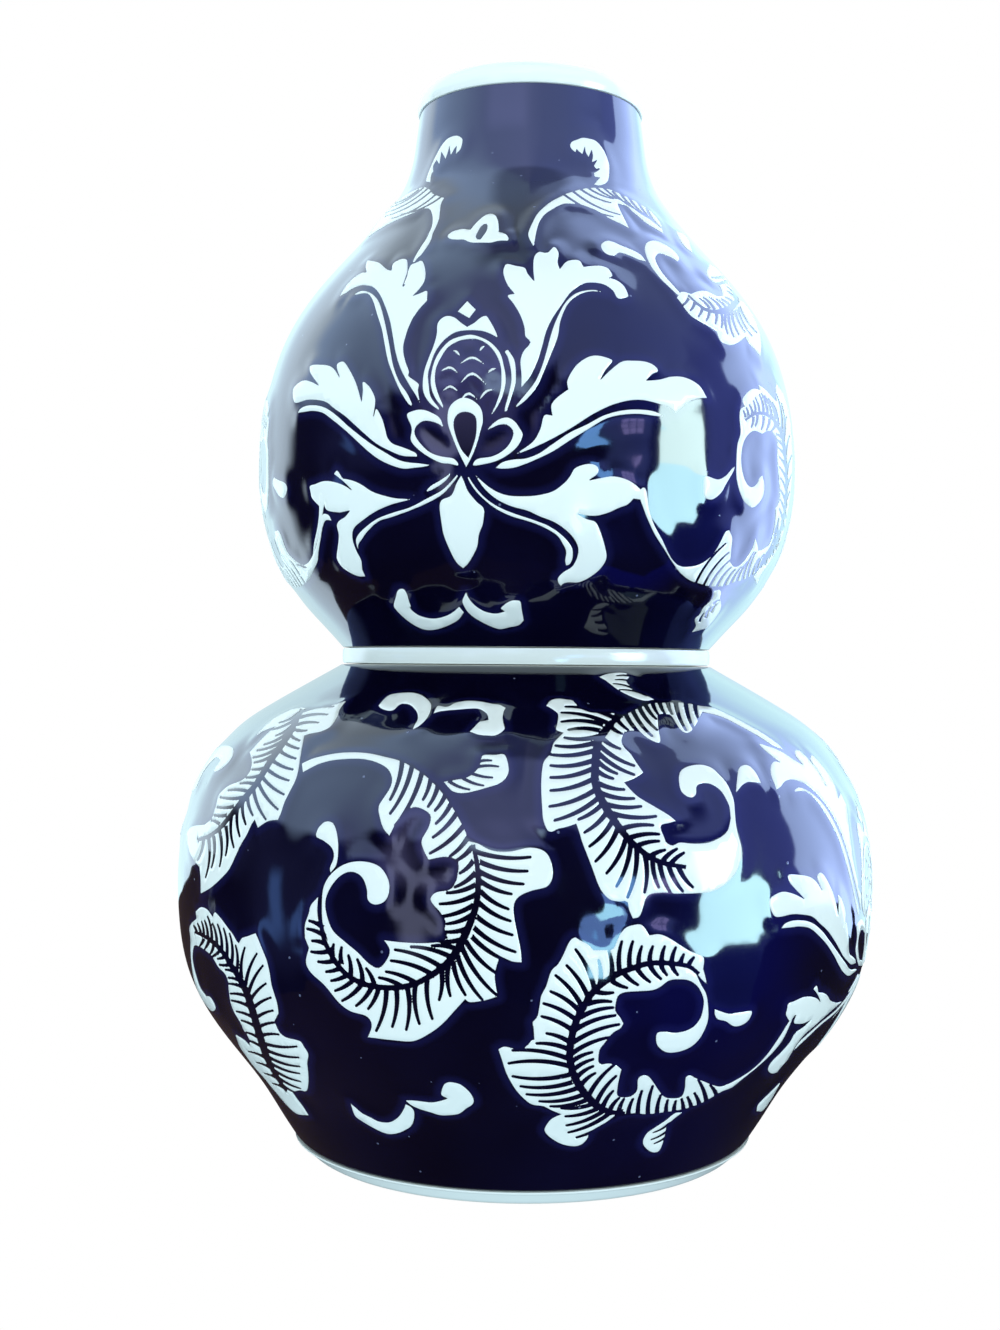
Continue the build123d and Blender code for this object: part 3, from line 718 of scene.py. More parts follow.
UPPER_FEATHERS = [
    dict(
        outline="""444,197! 441,203 440,210 439,218 436,226 433,232 431,239 427,246 422,253 417,258
    414,262! 412,261 416,253 421,245 425,239 428,233 431,226 432,219 431,212 428,208 421,209
    409,214 397,219 389,223 382,227 374,232 367,237! 370,232 374,226 379,219 385,212 391,206
    397,200! 402,197 406,194! 410,192 414,190! 418,188 421,187! 424,186 427,187! 430,189 433,193
    438,195""",
        strokes="""437,198,401,214 433,195,392,218 429,191,385,216 425,189,384,213 420,189,388,208
    415,191,392,204""",
        stroke=1.3,
    ),
    dict(
        outline="""534,247! 529,238 528,232 532,222 537,213 544,206 552,200 560,196 566,193 575,190
    583,188 591,187 599,187 607,188 615,191 624,195 632,199 641,204 650,210 657,217 662,225
    664,233! 654,227 646,222 639,216 633,211 628,206 623,204 618,203! 621,210 625,218 630,228!
    621,223 610,218 599,211 590,207 581,204 573,203 565,203 559,205 552,209 546,213 541,219 538,226
    536,235""",
        strokes="""566,194,613,216 575,191,620,214 583,189,611,202 591,188,613,198 599,188,616,198
    607,189,630,203 616,193,641,211 624,196,650,218 632,200,655,221 641,205,659,225
    649,211,661,227""",
        stroke=1.5,
    ),
    dict(
        outline="""677,297! 681,302 685,308 692,316 700,321 709,326 717,331! 720,339 724,343
    731,345 738,343 746,337! 750,344 755,349 761,356! 762,348 761,335 756,321 750,309 741,299
    734,291 728,281 722,273 716,267 710,263! 707,271 708,276 713,281 719,284 722,290 723,295!
    717,295 711,292 706,290 701,290 696,291 691,293 685,291 681,291!""",
        rib="689,295 694,300 700,305 706,309 713,311 721,311 728,309 733,306 737,302 736,297",
        widths=[(0, 1.5), (0.5, 3), (0.8, 6), (1, 3)],
        strokes="""689,298,683,305 695,303,691,310 703,308,699,316 710,311,707,320 717,313,716,323
    722,313,722,327 726,313,728,333 729,312,734,336 732,311,739,334 735,310,745,331 738,309,752,335
    740,307,757,332 710,308,700,298 715,309,704,297 722,309,710,297 727,308,717,299 731,306,722,299
    734,303,726,297 736,299,728,291 735,295,728,287 722,276,712,277 726,281,717,283""",
        stroke=2.0,
    ),
    dict(outline="676,230! 684,233 690,241 693,252! 686,247 680,239"),
    dict(
        outline="""641,489! 645,487 648,495 650,510 655,525 663,540 669,553 674,561 680,566 688,567
    699,565 709,559 716,551 722,540 726,532 730,530! 733,538 732,549 731,562! 735,567 741,565
    747,558 753,548 756,538! 758,544 759,551! 764,549 770,544 774,532 776,517 776,509! 780,500
    780,486 779,471 778,456 778,442 775,435 770,431 763,434! 756,431 751,433 746,439 743,448
    742,461 744,475 748,484 753,487 758,483 760,478 763,475! 765,484 764,495 760,503 753,508
    745,502 740,491 737,477 737,459 738,444 741,433 740,417 741,409 745,406! 743,399 749,391
    755,388 760,389! 759,384! 766,389 774,398 777,401! 776,389 777,383! 783,392 789,410 792,436
    793,459 792,484 789,509 784,532 778,549 770,563 762,574 757,586! 755,580 753,576! 745,580
    735,583 724,587 709,587 699,584 690,581 680,573 672,562 664,549 655,535 648,520 643,507
    640,498""",
        rib="""753,577 760,568 769,557 777,544 782,528 786,509 787,490 787,471 785,452 783,436
    778,426 773,418 766,414 759,413 753,415 746,420""",
        widths=[(0, 1.5), (0.3, 1.8), (0.8, 3), (1, 1.5)],
        strokes="""697,584,726,544 705,586,729,553 711,587,730,561 718,587,731,568 725,587,735,570
    731,586,741,568 737,584,747,563 743,582,754,553 748,580,756,553 752,578,759,559 756,572,764,555
    761,567,769,551 766,561,773,544 771,554,776,536 776,545,777,526 779,536,779,519 783,526,780,509
    785,515,781,500 786,503,781,490 787,492,781,478 787,480,780,467 787,469,780,457 786,457,779,448
    785,448,778,440 783,438,777,434 776,425,772,431 770,419,767,430 764,416,762,429 758,415,756,426
    754,417,752,427 746,417,744,411 749,415,747,408 753,413,750,405 756,412,754,401 760,412,756,398
    764,412,760,395 768,413,762,394 772,415,765,396 776,419,769,399 779,424,773,403 782,431,777,394
    784,440,782,404 786,452,787,417 787,467,790,436 787,482,792,456 787,498,792,475 786,513,790,492
    783,526,787,507 779,540,784,522 774,551,779,536 767,561,773,547""",
        stroke=1.9,
    ),
    dict(
        outline="""692,633! 696,627 695,620 700,615 703,609 708,604 712,600 714,596 714,592 720,590
    722,593 721,598 722,606 720,612 716,618 711,624 706,629 700,631""",
        strokes="700,622,704,614 706,618,710,608 711,612,716,605 714,604,719,601",
        stroke=1.6,
    ),
    dict(
        outline="""309,580! 300,577 293,571 285,562 279,551 275,540 274,531! 278,531 281,537
    284,546 288,554 295,561 302,565 307,563 311,557 315,547 318,534 320,522 322,514 328,515
    331,521! 325,521 322,528 320,540 318,552 317,562 313,571""",
        strokes="303,572,289,563 297,572,283,556 306,569,297,565",
        stroke=1.6,
    ),
]
UPPER_COMMAS = [
    """447,235 452,231 458,229 464,228 470,229! 474,224 479,219 484,215 490,213 495,214 498,219
    499,226 499,231! 503,232 507,234 509,238 508,240! 500,240 495,241 490,242 480,242 472,242
    468,241 463,239 455,239 449,238""",
    """462,143 462,138 457,135 451,136 446,139 441,145 437,152 433,160 430,167 427,174 425,181!
    430,182! 431,174 433,171! 433,165 436,160! 439,165! 440,158 441,152! 445,159! 447,153 449,147!
    450,156! 453,150 456,146! 455,154! 460,149""",
    """570,145 572,141 577,139 583,137 590,138 596,140 601,145 605,151 608,158 610,165 610,172
    609,179 606,183 600,185 594,184! 597,180 600,177! 595,176 594,172! 598,170 600,168! 596,168
    594,165! 597,160! 592,162! 593,155 592,150! 589,157! 586,152 585,147! 583,154! 579,151 577,149!
    576,152! 572,149""",
    """601,244 606,240 613,241 622,245 632,249 641,254 647,261! 639,259 630,255 620,252 615,255
    608,254 603,250""",
    """645,246 648,241 656,240 667,245 675,251 680,258 678,261! 672,257 665,254 659,253 656,258
    659,266 665,275 674,285 682,294! 680,296 670,287 660,277 651,265 646,254""",
    """705,477 709,476 714,478 720,479 727,475 732,469 736,466! 734,472 730,479 726,486 722,493
    715,499 710,500 705,497 704,487""",
    "273,477! 278,480 283,482 286,486 286,492 283,498 279,497 275,491 272,484",
    """401,589 404,590 407,595 409,602 411,607! 410,609 417,615 425,618 434,619 444,617 452,613
    459,607! 464,613! 459,620 451,625 441,629 430,631 420,629 411,624 403,618 396,611 393,606
    395,598 397,591""",
    """466,592! 463,598 462,603 466,611 472,617 480,622 490,627 500,630 510,628 519,626 524,621!
    522,610 521,603 519,601 512,601 507,603 502,607 500,609! 504,612! 497,614 488,613 479,609
    472,603 468,597""",
]
BUD_EYE = "476,236 478,231 481,226 485,223 487,225 486,230 482,236 479,239"


# The pattern is mirrored about the side flower on the lower bulb, and on the upper bulb about
# the middle between its two flowers; each copy is a sign and an angle for the azimuth
LOWER_COPIES = ((-1, 144),)
LEFT_SIDE_COPIES = (*LOWER_COPIES, (1, -80))
UPPER_COPIES = ((-1, 158),)
SIDE_COPIES = ((-1, 158), (-1, -22), (1, 180))
SIDE_FEATHER = 4

# The flower on the lower bulb: azimuth, level and size of the large one and the one behind
LOTUS_HEART = (466.0, 440.0)
SIDE_FLOWERS = ((72.0, 63.0, 0.79), (252.0, 80.0, 0.56))

STROKE_WIDTH = 3.7
STROKE_BOW = 0.06
CUT_REACH = 4.0


def drawn_strokes(text, width, outline):
    """The strokes of a leaf; one that starts at its outline cuts through it, as between barbs."""
    edge = np.vstack(runs_of(outline))
    for x0, y0, x1, y1 in map(numbers, text.split()):
        bow = STROKE_BOW if (x1 - x0) * (y1 - y0) > 0 else -STROKE_BOW
        size = math.hypot(x1 - x0, y1 - y0)
        if np.hypot(edge[:, 0] - x0, edge[:, 1] - y0).min() < CUT_REACH:
            x0, y0 = x0 - (x1 - x0) / size * CUT_REACH, y0 - (y1 - y0) / size * CUT_REACH
        yield stroke((x0, y0), (x1, y1), width, bow)


def leaf_rings(leaf):
    """A drawn leaf as one ring on the skin, and the rings left blue inside it."""
    holes = [loop_of(text) for text in leaf.get("holes", ())]
    if "rib" in leaf:
        line = bend_through(np.array([numbers(word) for word in leaf["rib"].split()]), 8)
        holes.append(from_page(ribbon(line, leaf["widths"])))
    strokes = leaf.get("strokes", ""), leaf.get("stroke", STROKE_WIDTH), leaf["outline"]
    holes += [from_page(line) for line in drawn_strokes(*strokes)]
    return loop_of(leaf["outline"]), holes


def scale_rings():
    """The small arcs on the seed pod, each a thin crescent through three points."""
    for word in SCALES.split():
        line = bend_through(np.array(numbers(word)).reshape(3, 2), 5)
        band = ribbon(line, [(0, 1.0), (0.5, 3.6), (1, 1.0)])
        yield even(from_page(np.vstack([band, band[:1]])))


def turned(points, sign, angle):
    """The same points mirrored or turned about the vase's axis."""
    out = points.copy()
    out[:, 0] = sign * out[:, 0] + math.radians(angle)
    return out


class Ornament:
    """Leaves that belong to one piece, kept as triangles on the skin."""

    def __init__(self):
        self.points, self.faces, self.depths, self.rings = [], [], [], []
        self.total = 0

    def add(self, ring, holes=(), copies=()):
        points, faces, depth = plate(ring, holes)
        self.keep(points, faces, depth, ring)
        for sign, angle in copies:
            wound = faces if sign > 0 else faces[:, ::-1]
            self.keep(turned(points, sign, angle), wound, depth, turned(ring, sign, angle))

    def keep(self, points, faces, depth, ring):
        self.points.append(points)
        self.faces.append(faces + self.total)
        self.depths.append(depth)
        self.rings.append(ring)
        self.total += len(points)

    def arrays(self):
        return np.vstack(self.points), np.vstack(self.faces), np.concatenate(self.depths)


def lower_feathers(work):
    for leaf in (FEATHER_A, FEATHER_B, FEATHER_C, FEATHER_D, FEATHER_E):
        work.add(*leaf_rings(leaf), LOWER_COPIES)


def lower_scrolls(work):
    for leaf in LOWER_LEAVES:
        work.add(*leaf_rings(leaf), LOWER_COPIES)
    last_pair = len(LOWER_COMMAS) - 2
    for i, text in enumerate(LOWER_COMMAS):
        work.add(loop_of(text), (), LOWER_COPIES if i < last_pair else LEFT_SIDE_COPIES)


def upper_lotus(work):
    for leaf in LOTUS:
        work.add(*leaf_rings(leaf), UPPER_COPIES)
    for ring in scale_rings():
        work.add(ring, (), UPPER_COPIES)


def side_lotus(work):
    """The same flower on the lower bulb, drawn round other centres and at other sizes."""
    start = from_page([LOTUS_HEART])[0]
    leaves = [leaf_rings(leaf) for leaf in LOTUS] + [(ring, []) for ring in scale_rings()]
    for azimuth, level, size in SIDE_FLOWERS:
        end = np.array([math.radians(azimuth), np.interp(level, LEVELS, RISE)])
        for leaf, holes in leaves:
            ring, *blue = [(r - start) * size + end for r in (leaf, *holes)]
            work.add(ring, blue)


def upper_scrolls(work):
    for i, leaf in enumerate(UPPER_FEATHERS):
        work.add(*leaf_rings(leaf), SIDE_COPIES if i == SIDE_FEATHER else UPPER_COPIES)
    for i, text in enumerate(UPPER_COMMAS):
        work.add(loop_of(text), [] if i else [loop_of(BUD_EYE)], UPPER_COPIES)


ORNAMENTS = {
    make.__name__: make
    for make in (lower_feathers, lower_scrolls, side_lotus, upper_lotus, upper_scrolls)
}


@cache
def ornament(name):
    work = Ornament()
    ORNAMENTS[name](work)
    return work


def all_rings():
    return [ring for name in ORNAMENTS for ring in ornament(name).rings]


@cache
def edge_tree():
    """All leaf edges on the vase, for the swelling of the blue glaze beside them."""
    points = [on_skin(ring[:, 0], ring[:, 1], np.zeros(len(ring))) for ring in all_rings()]
    return tree_of(np.vstack(points).tolist())


# ---------------------------------------------------------------- shader nodes

WHITE = (1.0, 1.0, 1.0)
SECOND_MIRROR = 0.09


class Nodes:
    """Short ways to add the shader nodes that the glazes and the studio are made of."""

    def __init__(self, tree, clear=False):
        self.nodes, self.links = tree.nodes, tree.links
        if clear:
            self.nodes.clear()

    def feed(self, socket, value):
        """Joins an input to an output, or gives it a number or a colour."""
        if isinstance(value, bpy.types.NodeSocket):
            self.links.new(value, socket)
        else:
            socket.default_value = (*value, 1) if isinstance(value, tuple) else value

    def add(self, kind, inputs=None, **settings):
        """A new node, with its settings, and its inputs by name or number."""
        n = self.nodes.new("ShaderNode" + kind)
        for name, value in settings.items():
            setattr(n, name, value)
        for key, value in (inputs or {}).items():
            self.feed(n.inputs[key], value)
        return n

    def calc(self, operation, *terms):
        return self.add("Math", dict(enumerate(terms)), operation=operation).outputs[0]

    def mix(self, factor, a, b, blend="MIX"):
        n = self.add("Mix", data_type="RGBA", blend_type=blend)
        for socket, value in zip((n.inputs[0], n.inputs[6], n.inputs[7]), (factor, a, b)):
            self.feed(socket, value)
        return n.outputs[2]

    def times(self, a, b):
        """Two colours, or a colour and a strength, multiplied."""
        return self.mix(1.0, a, b, "MULTIPLY")

    def remap(self, value, low, high, first, last, change="SMOOTHSTEP"):
        """Goes from first to last while a value goes from low to high."""
        ends = {"From Min": low, "From Max": high, "To Min": first, "To Max": last}
        return self.add("MapRange", {"Value": value, **ends}, interpolation_type=change).outputs[0]

    def between(self, value, low, high, soft):
        """One inside a range of values, fading to zero over a soft border."""
        up = self.remap(value, low - soft, low + soft, 0.0, 1.0)
        down = self.remap(value, high - soft, high + soft, 1.0, 0.0)
        return self.calc("MULTIPLY", up, down)

    def ramp(self, value, *stops):
        """Colours along a value, from stops of a position and a colour or a grey."""
        n = self.add("ValToRGB", {"Fac": value})
        elements = n.color_ramp.elements
        while len(elements) < len(stops):
            elements.new(0.5)
        for element, (position, colour) in zip(elements, stops):
            element.position = position
            element.color = (*colour, 1) if isinstance(colour, tuple) else (colour,) * 3 + (1,)
        return n.outputs["Color"]

    def coords(self):
        """The point of the object, and its x, y and z."""
        point = self.add("TexCoord").outputs["Object"]
        return point, self.parts(point)

    def parts(self, vector):
        return tuple(self.add("SeparateXYZ", {0: vector}).outputs)

    def attribute(self, name):
        return self.add("Attribute", attribute_name=name).outputs["Fac"]

    def noise(self, point, scale, detail):
        inputs = {"Vector": point, "Scale": scale, "Detail": detail}
        return self.add("TexNoise", inputs).outputs["Fac"]

    def bumps(self, *parts):
        """Bumps one on another, each a height, a strength and a depth in metres."""
        normal = None
        for height, strength, depth in parts:
            n = self.add("Bump", {"Height": height, "Strength": strength, "Distance": depth})
            if normal:
                self.feed(n.inputs["Normal"], normal)
            normal = n.outputs["Normal"]
        return normal

    def finish(self, **inputs):
        """Sets the main shader's inputs; an underscore in a name stands for a space."""
        for key, value in inputs.items():
            self.feed(self.nodes["Principled BSDF"].inputs[key.replace("_", " ")], value)

    def first_mirror(self, strength, first=1.0):
        """A strength for what the glaze mirrors straight to the eye, lower in a second mirror."""
        depth = self.add("LightPath").outputs["Ray Depth"]
        return self.remap(depth, first + 0.2, first + 0.8, strength, strength * SECOND_MIRROR)


# ---------------------------------------------------------------- glazes


def material(name):
    """The material of this name, and its nodes if it is new and still has to be made."""
    mat = bpy.data.materials.get(name)
    if mat:
        return mat, None
    mat = bpy.data.materials.new(name)
    mat.use_nodes = True
    return mat, Nodes(mat.node_tree)


def blue_glaze(values):
    """Deep cobalt glaze with a painted rim light of lighter blue beside the leaves, lighter towards
    the neck, and a few specks.
    """
    mat, nodes = material("cobalt_glaze")
    if not nodes:
        return mat
    point, (_, _, level) = nodes.coords()
    deep, body, thin = (tuple(c) for c in (values.blue_deep, values.blue_body, values.blue_rim_light))
    tone = nodes.ramp(nodes.noise(point, 28.0, 4.0), (0.3, deep), (0.7, body))
    # Painted rim light: close to a leaf the ground is painted a lighter violet blue, for the rim of
    # light that the swelling glaze mirrors there
    stops = (0.0, 0.0), (0.07, 0.5), (0.14, 1.0), (0.42, 0.0)
    swelling = nodes.ramp(nodes.attribute("edge"), *stops)
    tone = nodes.mix(swelling, tone, thin)
    grain = nodes.add("TexVoronoi", {"Vector": point, "Scale": 130.0}).outputs["Distance"]
    speck = nodes.ramp(grain, (0.0, 1.0), (0.035, 1.0), (0.05, 0.0))
    tone = nodes.mix(speck, tone, (0.12, 0.14, 0.24))
    # Lighter, paler blue from the upper shoulder up to the neck
    lighter_neck = nodes.remap(level, 0.245, 0.285, 0.0, 0.75)
    nodes.finish(
        Base_Color=nodes.mix(lighter_neck, tone, (0.040, 0.047, 0.100)),
        Roughness=values.gloss,
        IOR=1.52,
        Coat_Weight=0.35,
        Coat_Roughness=0.02,
        Normal=nodes.bumps(
            (nodes.noise(point, 22.0, 2.0), 1.0, 0.00045),
            (nodes.noise(point, 120.0, 2.0), 0.6, 0.00005),
            (speck, 0.5, 0.0001),
        ),
    )
    return mat


def white_glaze(values):
    """White glaze: blue bleeds into the rim of a leaf. The bands are painted a brighter white,
    painted light against the shade at the waist and under the foot, and the lip is cooler with less
    red, a painted shade against the strong light from above.
    """
    mat, nodes = material("white_glaze")
    if not nodes:
        return mat
    point, (_, _, level) = nodes.coords()
    shade, body = tuple(values.white_shade), tuple(values.white_body)
    tone = nodes.ramp(nodes.noise(point, 35.0, 3.0), (0.3, shade), (0.7, body))
    rim = nodes.attribute("rim")
    fringe = nodes.ramp(rim, (0.0, 1.0), (0.24, 0.75), (0.5, 0.0))
    # Painted light and shade: rings get a brighter white that lifts the shade at the waist and the
    # foot, and the lip a cyan with less red that tones down the light from above
    lip = nodes.remap(level, 0.285, 0.295, 0.0, 1.0)
    painted_band_light = nodes.mix(lip, (0.74, 1.0, 1.0), (0.48, 0.985, 0.99))
    tone = nodes.mix(nodes.remap(rim, 1.2, 1.8, 0.0, 1.0), tone, painted_band_light)
    nodes.finish(
        Base_Color=nodes.mix(fringe, tone, tuple(values.fringe)),
        Roughness=0.16,
        IOR=1.5,
        Normal=nodes.bumps((nodes.noise(point, 40.0, 2.0), 0.6, 0.0004)),
    )
    return mat


def bare_porcelain():
    """Unglazed porcelain of the inside and the ground land."""
    mat, nodes = material("bare_porcelain")
    if not nodes:
        return mat
    point, _ = nodes.coords()
    cloud = nodes.noise(point, 50.0, 5.0)
    nodes.finish(
        Base_Color=nodes.ramp(cloud, (0.3, (0.60, 0.56, 0.50)), (0.7, (0.72, 0.70, 0.66))),
        Roughness=0.55,
        Normal=nodes.bumps((nodes.noise(point, 900.0, 2.0), 0.4, 0.00008)),
    )
    return mat


# ---------------------------------------------------------------- meshes


def only(obj):
    """Leaves one object selected and active."""
    bpy.ops.object.select_all(action="DESELECT")
    bpy.context.view_layer.objects.active = obj
    obj.select_set(True)


def new_object(name, points, edges=(), faces=()):
    mesh = bpy.data.meshes.new(name)
    mesh.from_pydata(points, edges, faces)
    obj = bpy.data.objects.new(name, mesh)
    bpy.context.scene.collection.objects.link(obj)
    return obj


def smooth(obj):
    only(obj)
    bpy.ops.object.shade_smooth_by_angle(angle=math.radians(40))


def paint(mesh, name, values):
    """Gives each point a number that the glazes read."""
    layer = mesh.attributes.new(name, "FLOAT", "POINT")
    layer.data.foreach_set("value", values.astype(np.float32))


def spun(name, profile, steps):
    """A closed profile of radius and level in millimetres, spun once about the vase's axis."""
    n = len(profile)
    edges = [(i, (i + 1) % n) for i in range(n)]
    if profile[0][0] == 0 and profile[-1][0] == 0:
        edges.pop()
    obj = new_object(name, [(r * MM, 0.0, z * MM) for r, z in profile], edges)
    only(obj)
    bpy.ops.object.mode_set(mode="EDIT")
    bpy.ops.mesh.select_all(action="SELECT")
    bpy.ops.mesh.spin(steps=steps, angle=2 * math.pi, center=(0, 0, 0), axis=(0, 0, 1))
    bpy.ops.mesh.select_all(action="SELECT")
    bpy.ops.mesh.remove_doubles(threshold=0.000005)
    bpy.ops.mesh.normals_make_consistent(inside=False)
    bpy.ops.object.mode_set(mode="OBJECT")
    return obj


def inner_wall(low, high, count, thickness):
    """Points of the bare inner wall, from high to low."""
    levels = np.linspace(high, low, count)
    radius = np.interp(levels, LEVELS, RADII)
    lean_z = np.interp(np.interp(levels, LEVELS, RISE), RISE, LEAN_Z)
    return [(r - thickness / max(c, 0.45), z) for r, z, c in zip(radius, levels, lean_z)]


def outer_wall(low, high, spacing):
    """Points of the blue ground between two levels, evenly spaced along the outline."""
    curve = CURVE[(LEVELS >= low - 1e-6) & (LEVELS <= high + 1e-6)]
    length = lengths(curve)
    at = np.linspace(0, length[-1], int(length[-1] / spacing) + 1)
    rise = np.interp(np.interp(at, length, curve[:, 1]), LEVELS, RISE)
    skin = on_skin(np.zeros(len(rise)), rise, np.full(len(rise), GROUND))
    return [(-p[1] / MM, p[2] / MM) for p in skin]


def leaf_distance(co, place):
    """Distance in millimetres from each outer point to the nearest leaf, zero under one."""
    distance = np.array([edge_tree().find(p)[2] / MM for p in co])
    under = np.zeros(len(place), bool)
    for ring in all_rings():
        for lap in (-2, -1, 0, 1, 2):
            shifted = ring + (lap * math.pi * 2, 0.0)
            if shifted[:, 0].max() > -math.pi and shifted[:, 0].min() < math.pi:
                under |= inside(place, shifted)
    distance[under] = 0.0
    return distance


def bulb(name, low, high, values, glaze):
    """One blue glazed bulb: its glaze swells towards the white leaves and is bare inside."""
    profile = outer_wall(low, high, values.spacing) + inner_wall(low, high, INNER_RINGS, BULB_WALL)
    obj = spun(name, profile, values.steps)
    mesh = obj.data
    co = np.zeros(len(mesh.vertices) * 3)
    mesh.vertices.foreach_get("co", co)
    co = co.reshape(-1, 3)
    radius, level = np.hypot(co[:, 0], co[:, 1]) / MM, co[:, 2] / MM
    turn = np.arctan2(co[:, 0], -co[:, 1])
    rise = np.interp(level, LEVELS, RISE)
    outside = radius > np.interp(level, LEVELS, RADII) - BULB_WALL / 2
    distance = np.full(len(co), 9.0)
    place = np.stack([turn[outside], rise[outside]], 1)
    distance[outside] = leaf_distance(co[outside], place)
    swell = (GROUND - RIDGE) * np.exp(-((distance / SWELL_RUN) ** 2))
    fade = np.clip(np.minimum(level - low, high - level) / 2, 0, 1)
    lean_r, lean_z = np.interp(rise, RISE, LEAN_R), np.interp(rise, RISE, LEAN_Z)
    push = np.where(outside, swell * fade, 0) * MM
    co[:, 0] += push * lean_z * np.sin(turn)
    co[:, 1] -= push * lean_z * np.cos(turn)
    co[:, 2] -= push * lean_r
    mesh.vertices.foreach_set("co", co.ravel())
    paint(mesh, "edge", np.clip(distance / 6, 0, 1))
    mesh.materials.append(blue_glaze(glaze))
    mesh.materials.append(bare_porcelain())
    for polygon in mesh.polygons:
        x, y, z = polygon.center
        depth = np.interp(z / MM, LEVELS, RADII) - math.hypot(x, y) / MM
        polygon.material_index = int(depth > BULB_WALL * BARE_DEPTH)
    mesh.update()
    smooth(obj)
    return obj


def raised(name, glaze):
    """A piece of white glazed ornament: thin plates with rounded edges that rise from the blue."""
    points, faces, depth = ornament(name).arrays()
    share = np.clip(depth / EDGE_RUN, 0, 1)
    share = share * share * (3 - 2 * share)
    co = on_skin(points[:, 0], points[:, 1], BURIED + (PLATE - BURIED) * share)
    obj = new_object(name, co.tolist(), [], faces.tolist())
    paint(obj.data, "rim", np.clip(depth, 0, 1))
    obj.data.materials.append(white_glaze(glaze))
    obj.data.update()
    smooth(obj)
    return obj


def white_ring(name, profile, steps, glaze, bare_below=0.0):
    """A plain white glazed ring or disc; the part under bare_below stays unglazed."""
    obj = spun(name, profile, steps)
    mesh = obj.data
    # A rim of 2 gives a ring or disc the band tones of the white glaze: painted light on the bands,
    # painted shade on the lip
    paint(mesh, "rim", np.full(len(mesh.vertices), 2.0))
    mesh.materials.append(white_glaze(glaze))
    mesh.materials.append(bare_porcelain())
    for polygon in mesh.polygons:
        polygon.material_index = int(polygon.center.z < bare_below * MM)
    smooth(obj)
    return obj


def arc(centre_r, centre_z, radius, first, last, count):
    angles = np.radians(np.linspace(first, last, count))
    return [(centre_r + radius * math.cos(a), centre_z + radius * math.sin(a)) for a in angles]


def on_body(obj, slot, *nodes):
    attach(obj, "root")
    if nodes:
        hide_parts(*nodes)


# ---------------------------------------------------------------- settings


def colour_setting(name, description, default):
    return FloatVectorProperty(
        name=name, description=description, subtype="COLOR", default=default
    )


def strength_setting(name, description, default):
    return FloatProperty(name=name, description=description, default=default, min=0.0)


class VaseGlaze(bpy.types.PropertyGroup):
    blue_deep: colour_setting(
        "Deep blue", "Darkest tone of the cobalt glaze", (0.0012, 0.0008, 0.0075)
    )
    blue_body: colour_setting("Blue", "Middle tone of the cobalt glaze", (0.0022, 0.0020, 0.016))
    # Painted rim light: the lighter blue painted on the swelling beside a leaf
    blue_rim_light: colour_setting(
        "Edge blue", "Thin glaze on the swelling beside a white leaf", (0.0055, 0.0058, 0.046)
    )
    white_body: colour_setting("White", "Light tone of the white glaze", (0.585, 0.935, 0.965))
    white_shade: colour_setting("White shade", "Cooler tone of the white", (0.54, 0.895, 0.94))
    fringe: colour_setting(
        "Fringe", "Blue that bleeds into the rim of the white", (0.10, 0.16, 0.42)
    )
    gloss: FloatProperty(
        name="Glaze roughness",
        description="Roughness under the clear coat",
        default=0.07,
        min=0.0,
        max=1.0,
    )


class VaseMesh(bpy.types.PropertyGroup):
    spacing: FloatProperty(
        name="Ring spacing",
        description="Distance between the rings of a bulb in millimetres",
        default=1.3,
        min=0.5,
        max=8.0,
    )
    steps: IntProperty(
        name="Steps", description="Divisions round the vase", default=480, min=32, max=720
    )


class VaseStage(bpy.types.PropertyGroup):
    ambient: strength_setting("Ambient", "Strength of the even light from all round", 1.0)
    window: strength_setting("Windows", "Brightness of the windows seen in the glaze", 1.0)
    sky: strength_setting("Ceiling", "Brightness of the ceiling seen in the glaze", 1.1)
    backdrop: strength_setting("Backdrop", "Strength of the backdrop seen in the glaze", 7.0)


# ---------------------------------------------------------------- the vase's operators


class VASE_OT_foot(bpy.types.Operator):
    """White foot ring, bare where it stands, and the floor of the vase"""

    bl_idname = "vase.foot"
    bl_label = "Foot and floor"

    def execute(self, context):
        glaze = context.scene.vase_glaze
        inner = FOOT_R - FOOT_LAND
        ring = [(inner + 0.8, 0.0), (inner, 0.8), (inner, FOOT_TOP), (FOOT_R - 2.0, FOOT_TOP + 0.3)]
        ring += [(FOOT_R - 0.12, FOOT_TOP + 0.25), (FOOT_R - 0.15, FOOT_TOP - 0.2)]
        for u in np.linspace(0.1, 0.8, 6):
            ring.append((FOOT_R - FOOT_FLARE * u - 0.1, FOOT_TOP * (1 - u)))
        ring += [(FOOT_R - 4.75, 0.35), (FOOT_R - 5.4, 0.0)]
        foot = white_ring("foot_band", ring[::-1], 240, glaze, bare_below=0.3)
        on_body(foot, "white_glaze", "foot_ring")
        low, high = FOOT_TOP, FOOT_TOP + FLOOR_HEIGHT
        wall = inner_wall(low + 0.1, high, 6, FLOOR_WALL)
        edge = wall[0][0]
        disc = [(0, low + 1.2), (37.0, low + 1.2), (40.0, low + 0.1), *wall[::-1]]
        disc += [(edge - 4.0, high - 2.5), (edge - 8.5, FLOOR_TOP + 0.6)]
        disc += [(edge - 13.0, FLOOR_TOP), (0, FLOOR_TOP)]
        base = white_ring("base", disc, 160, glaze)
        on_body(base, "bare_porcelain", "base_floor", "floor_bead")
        return {"FINISHED"}


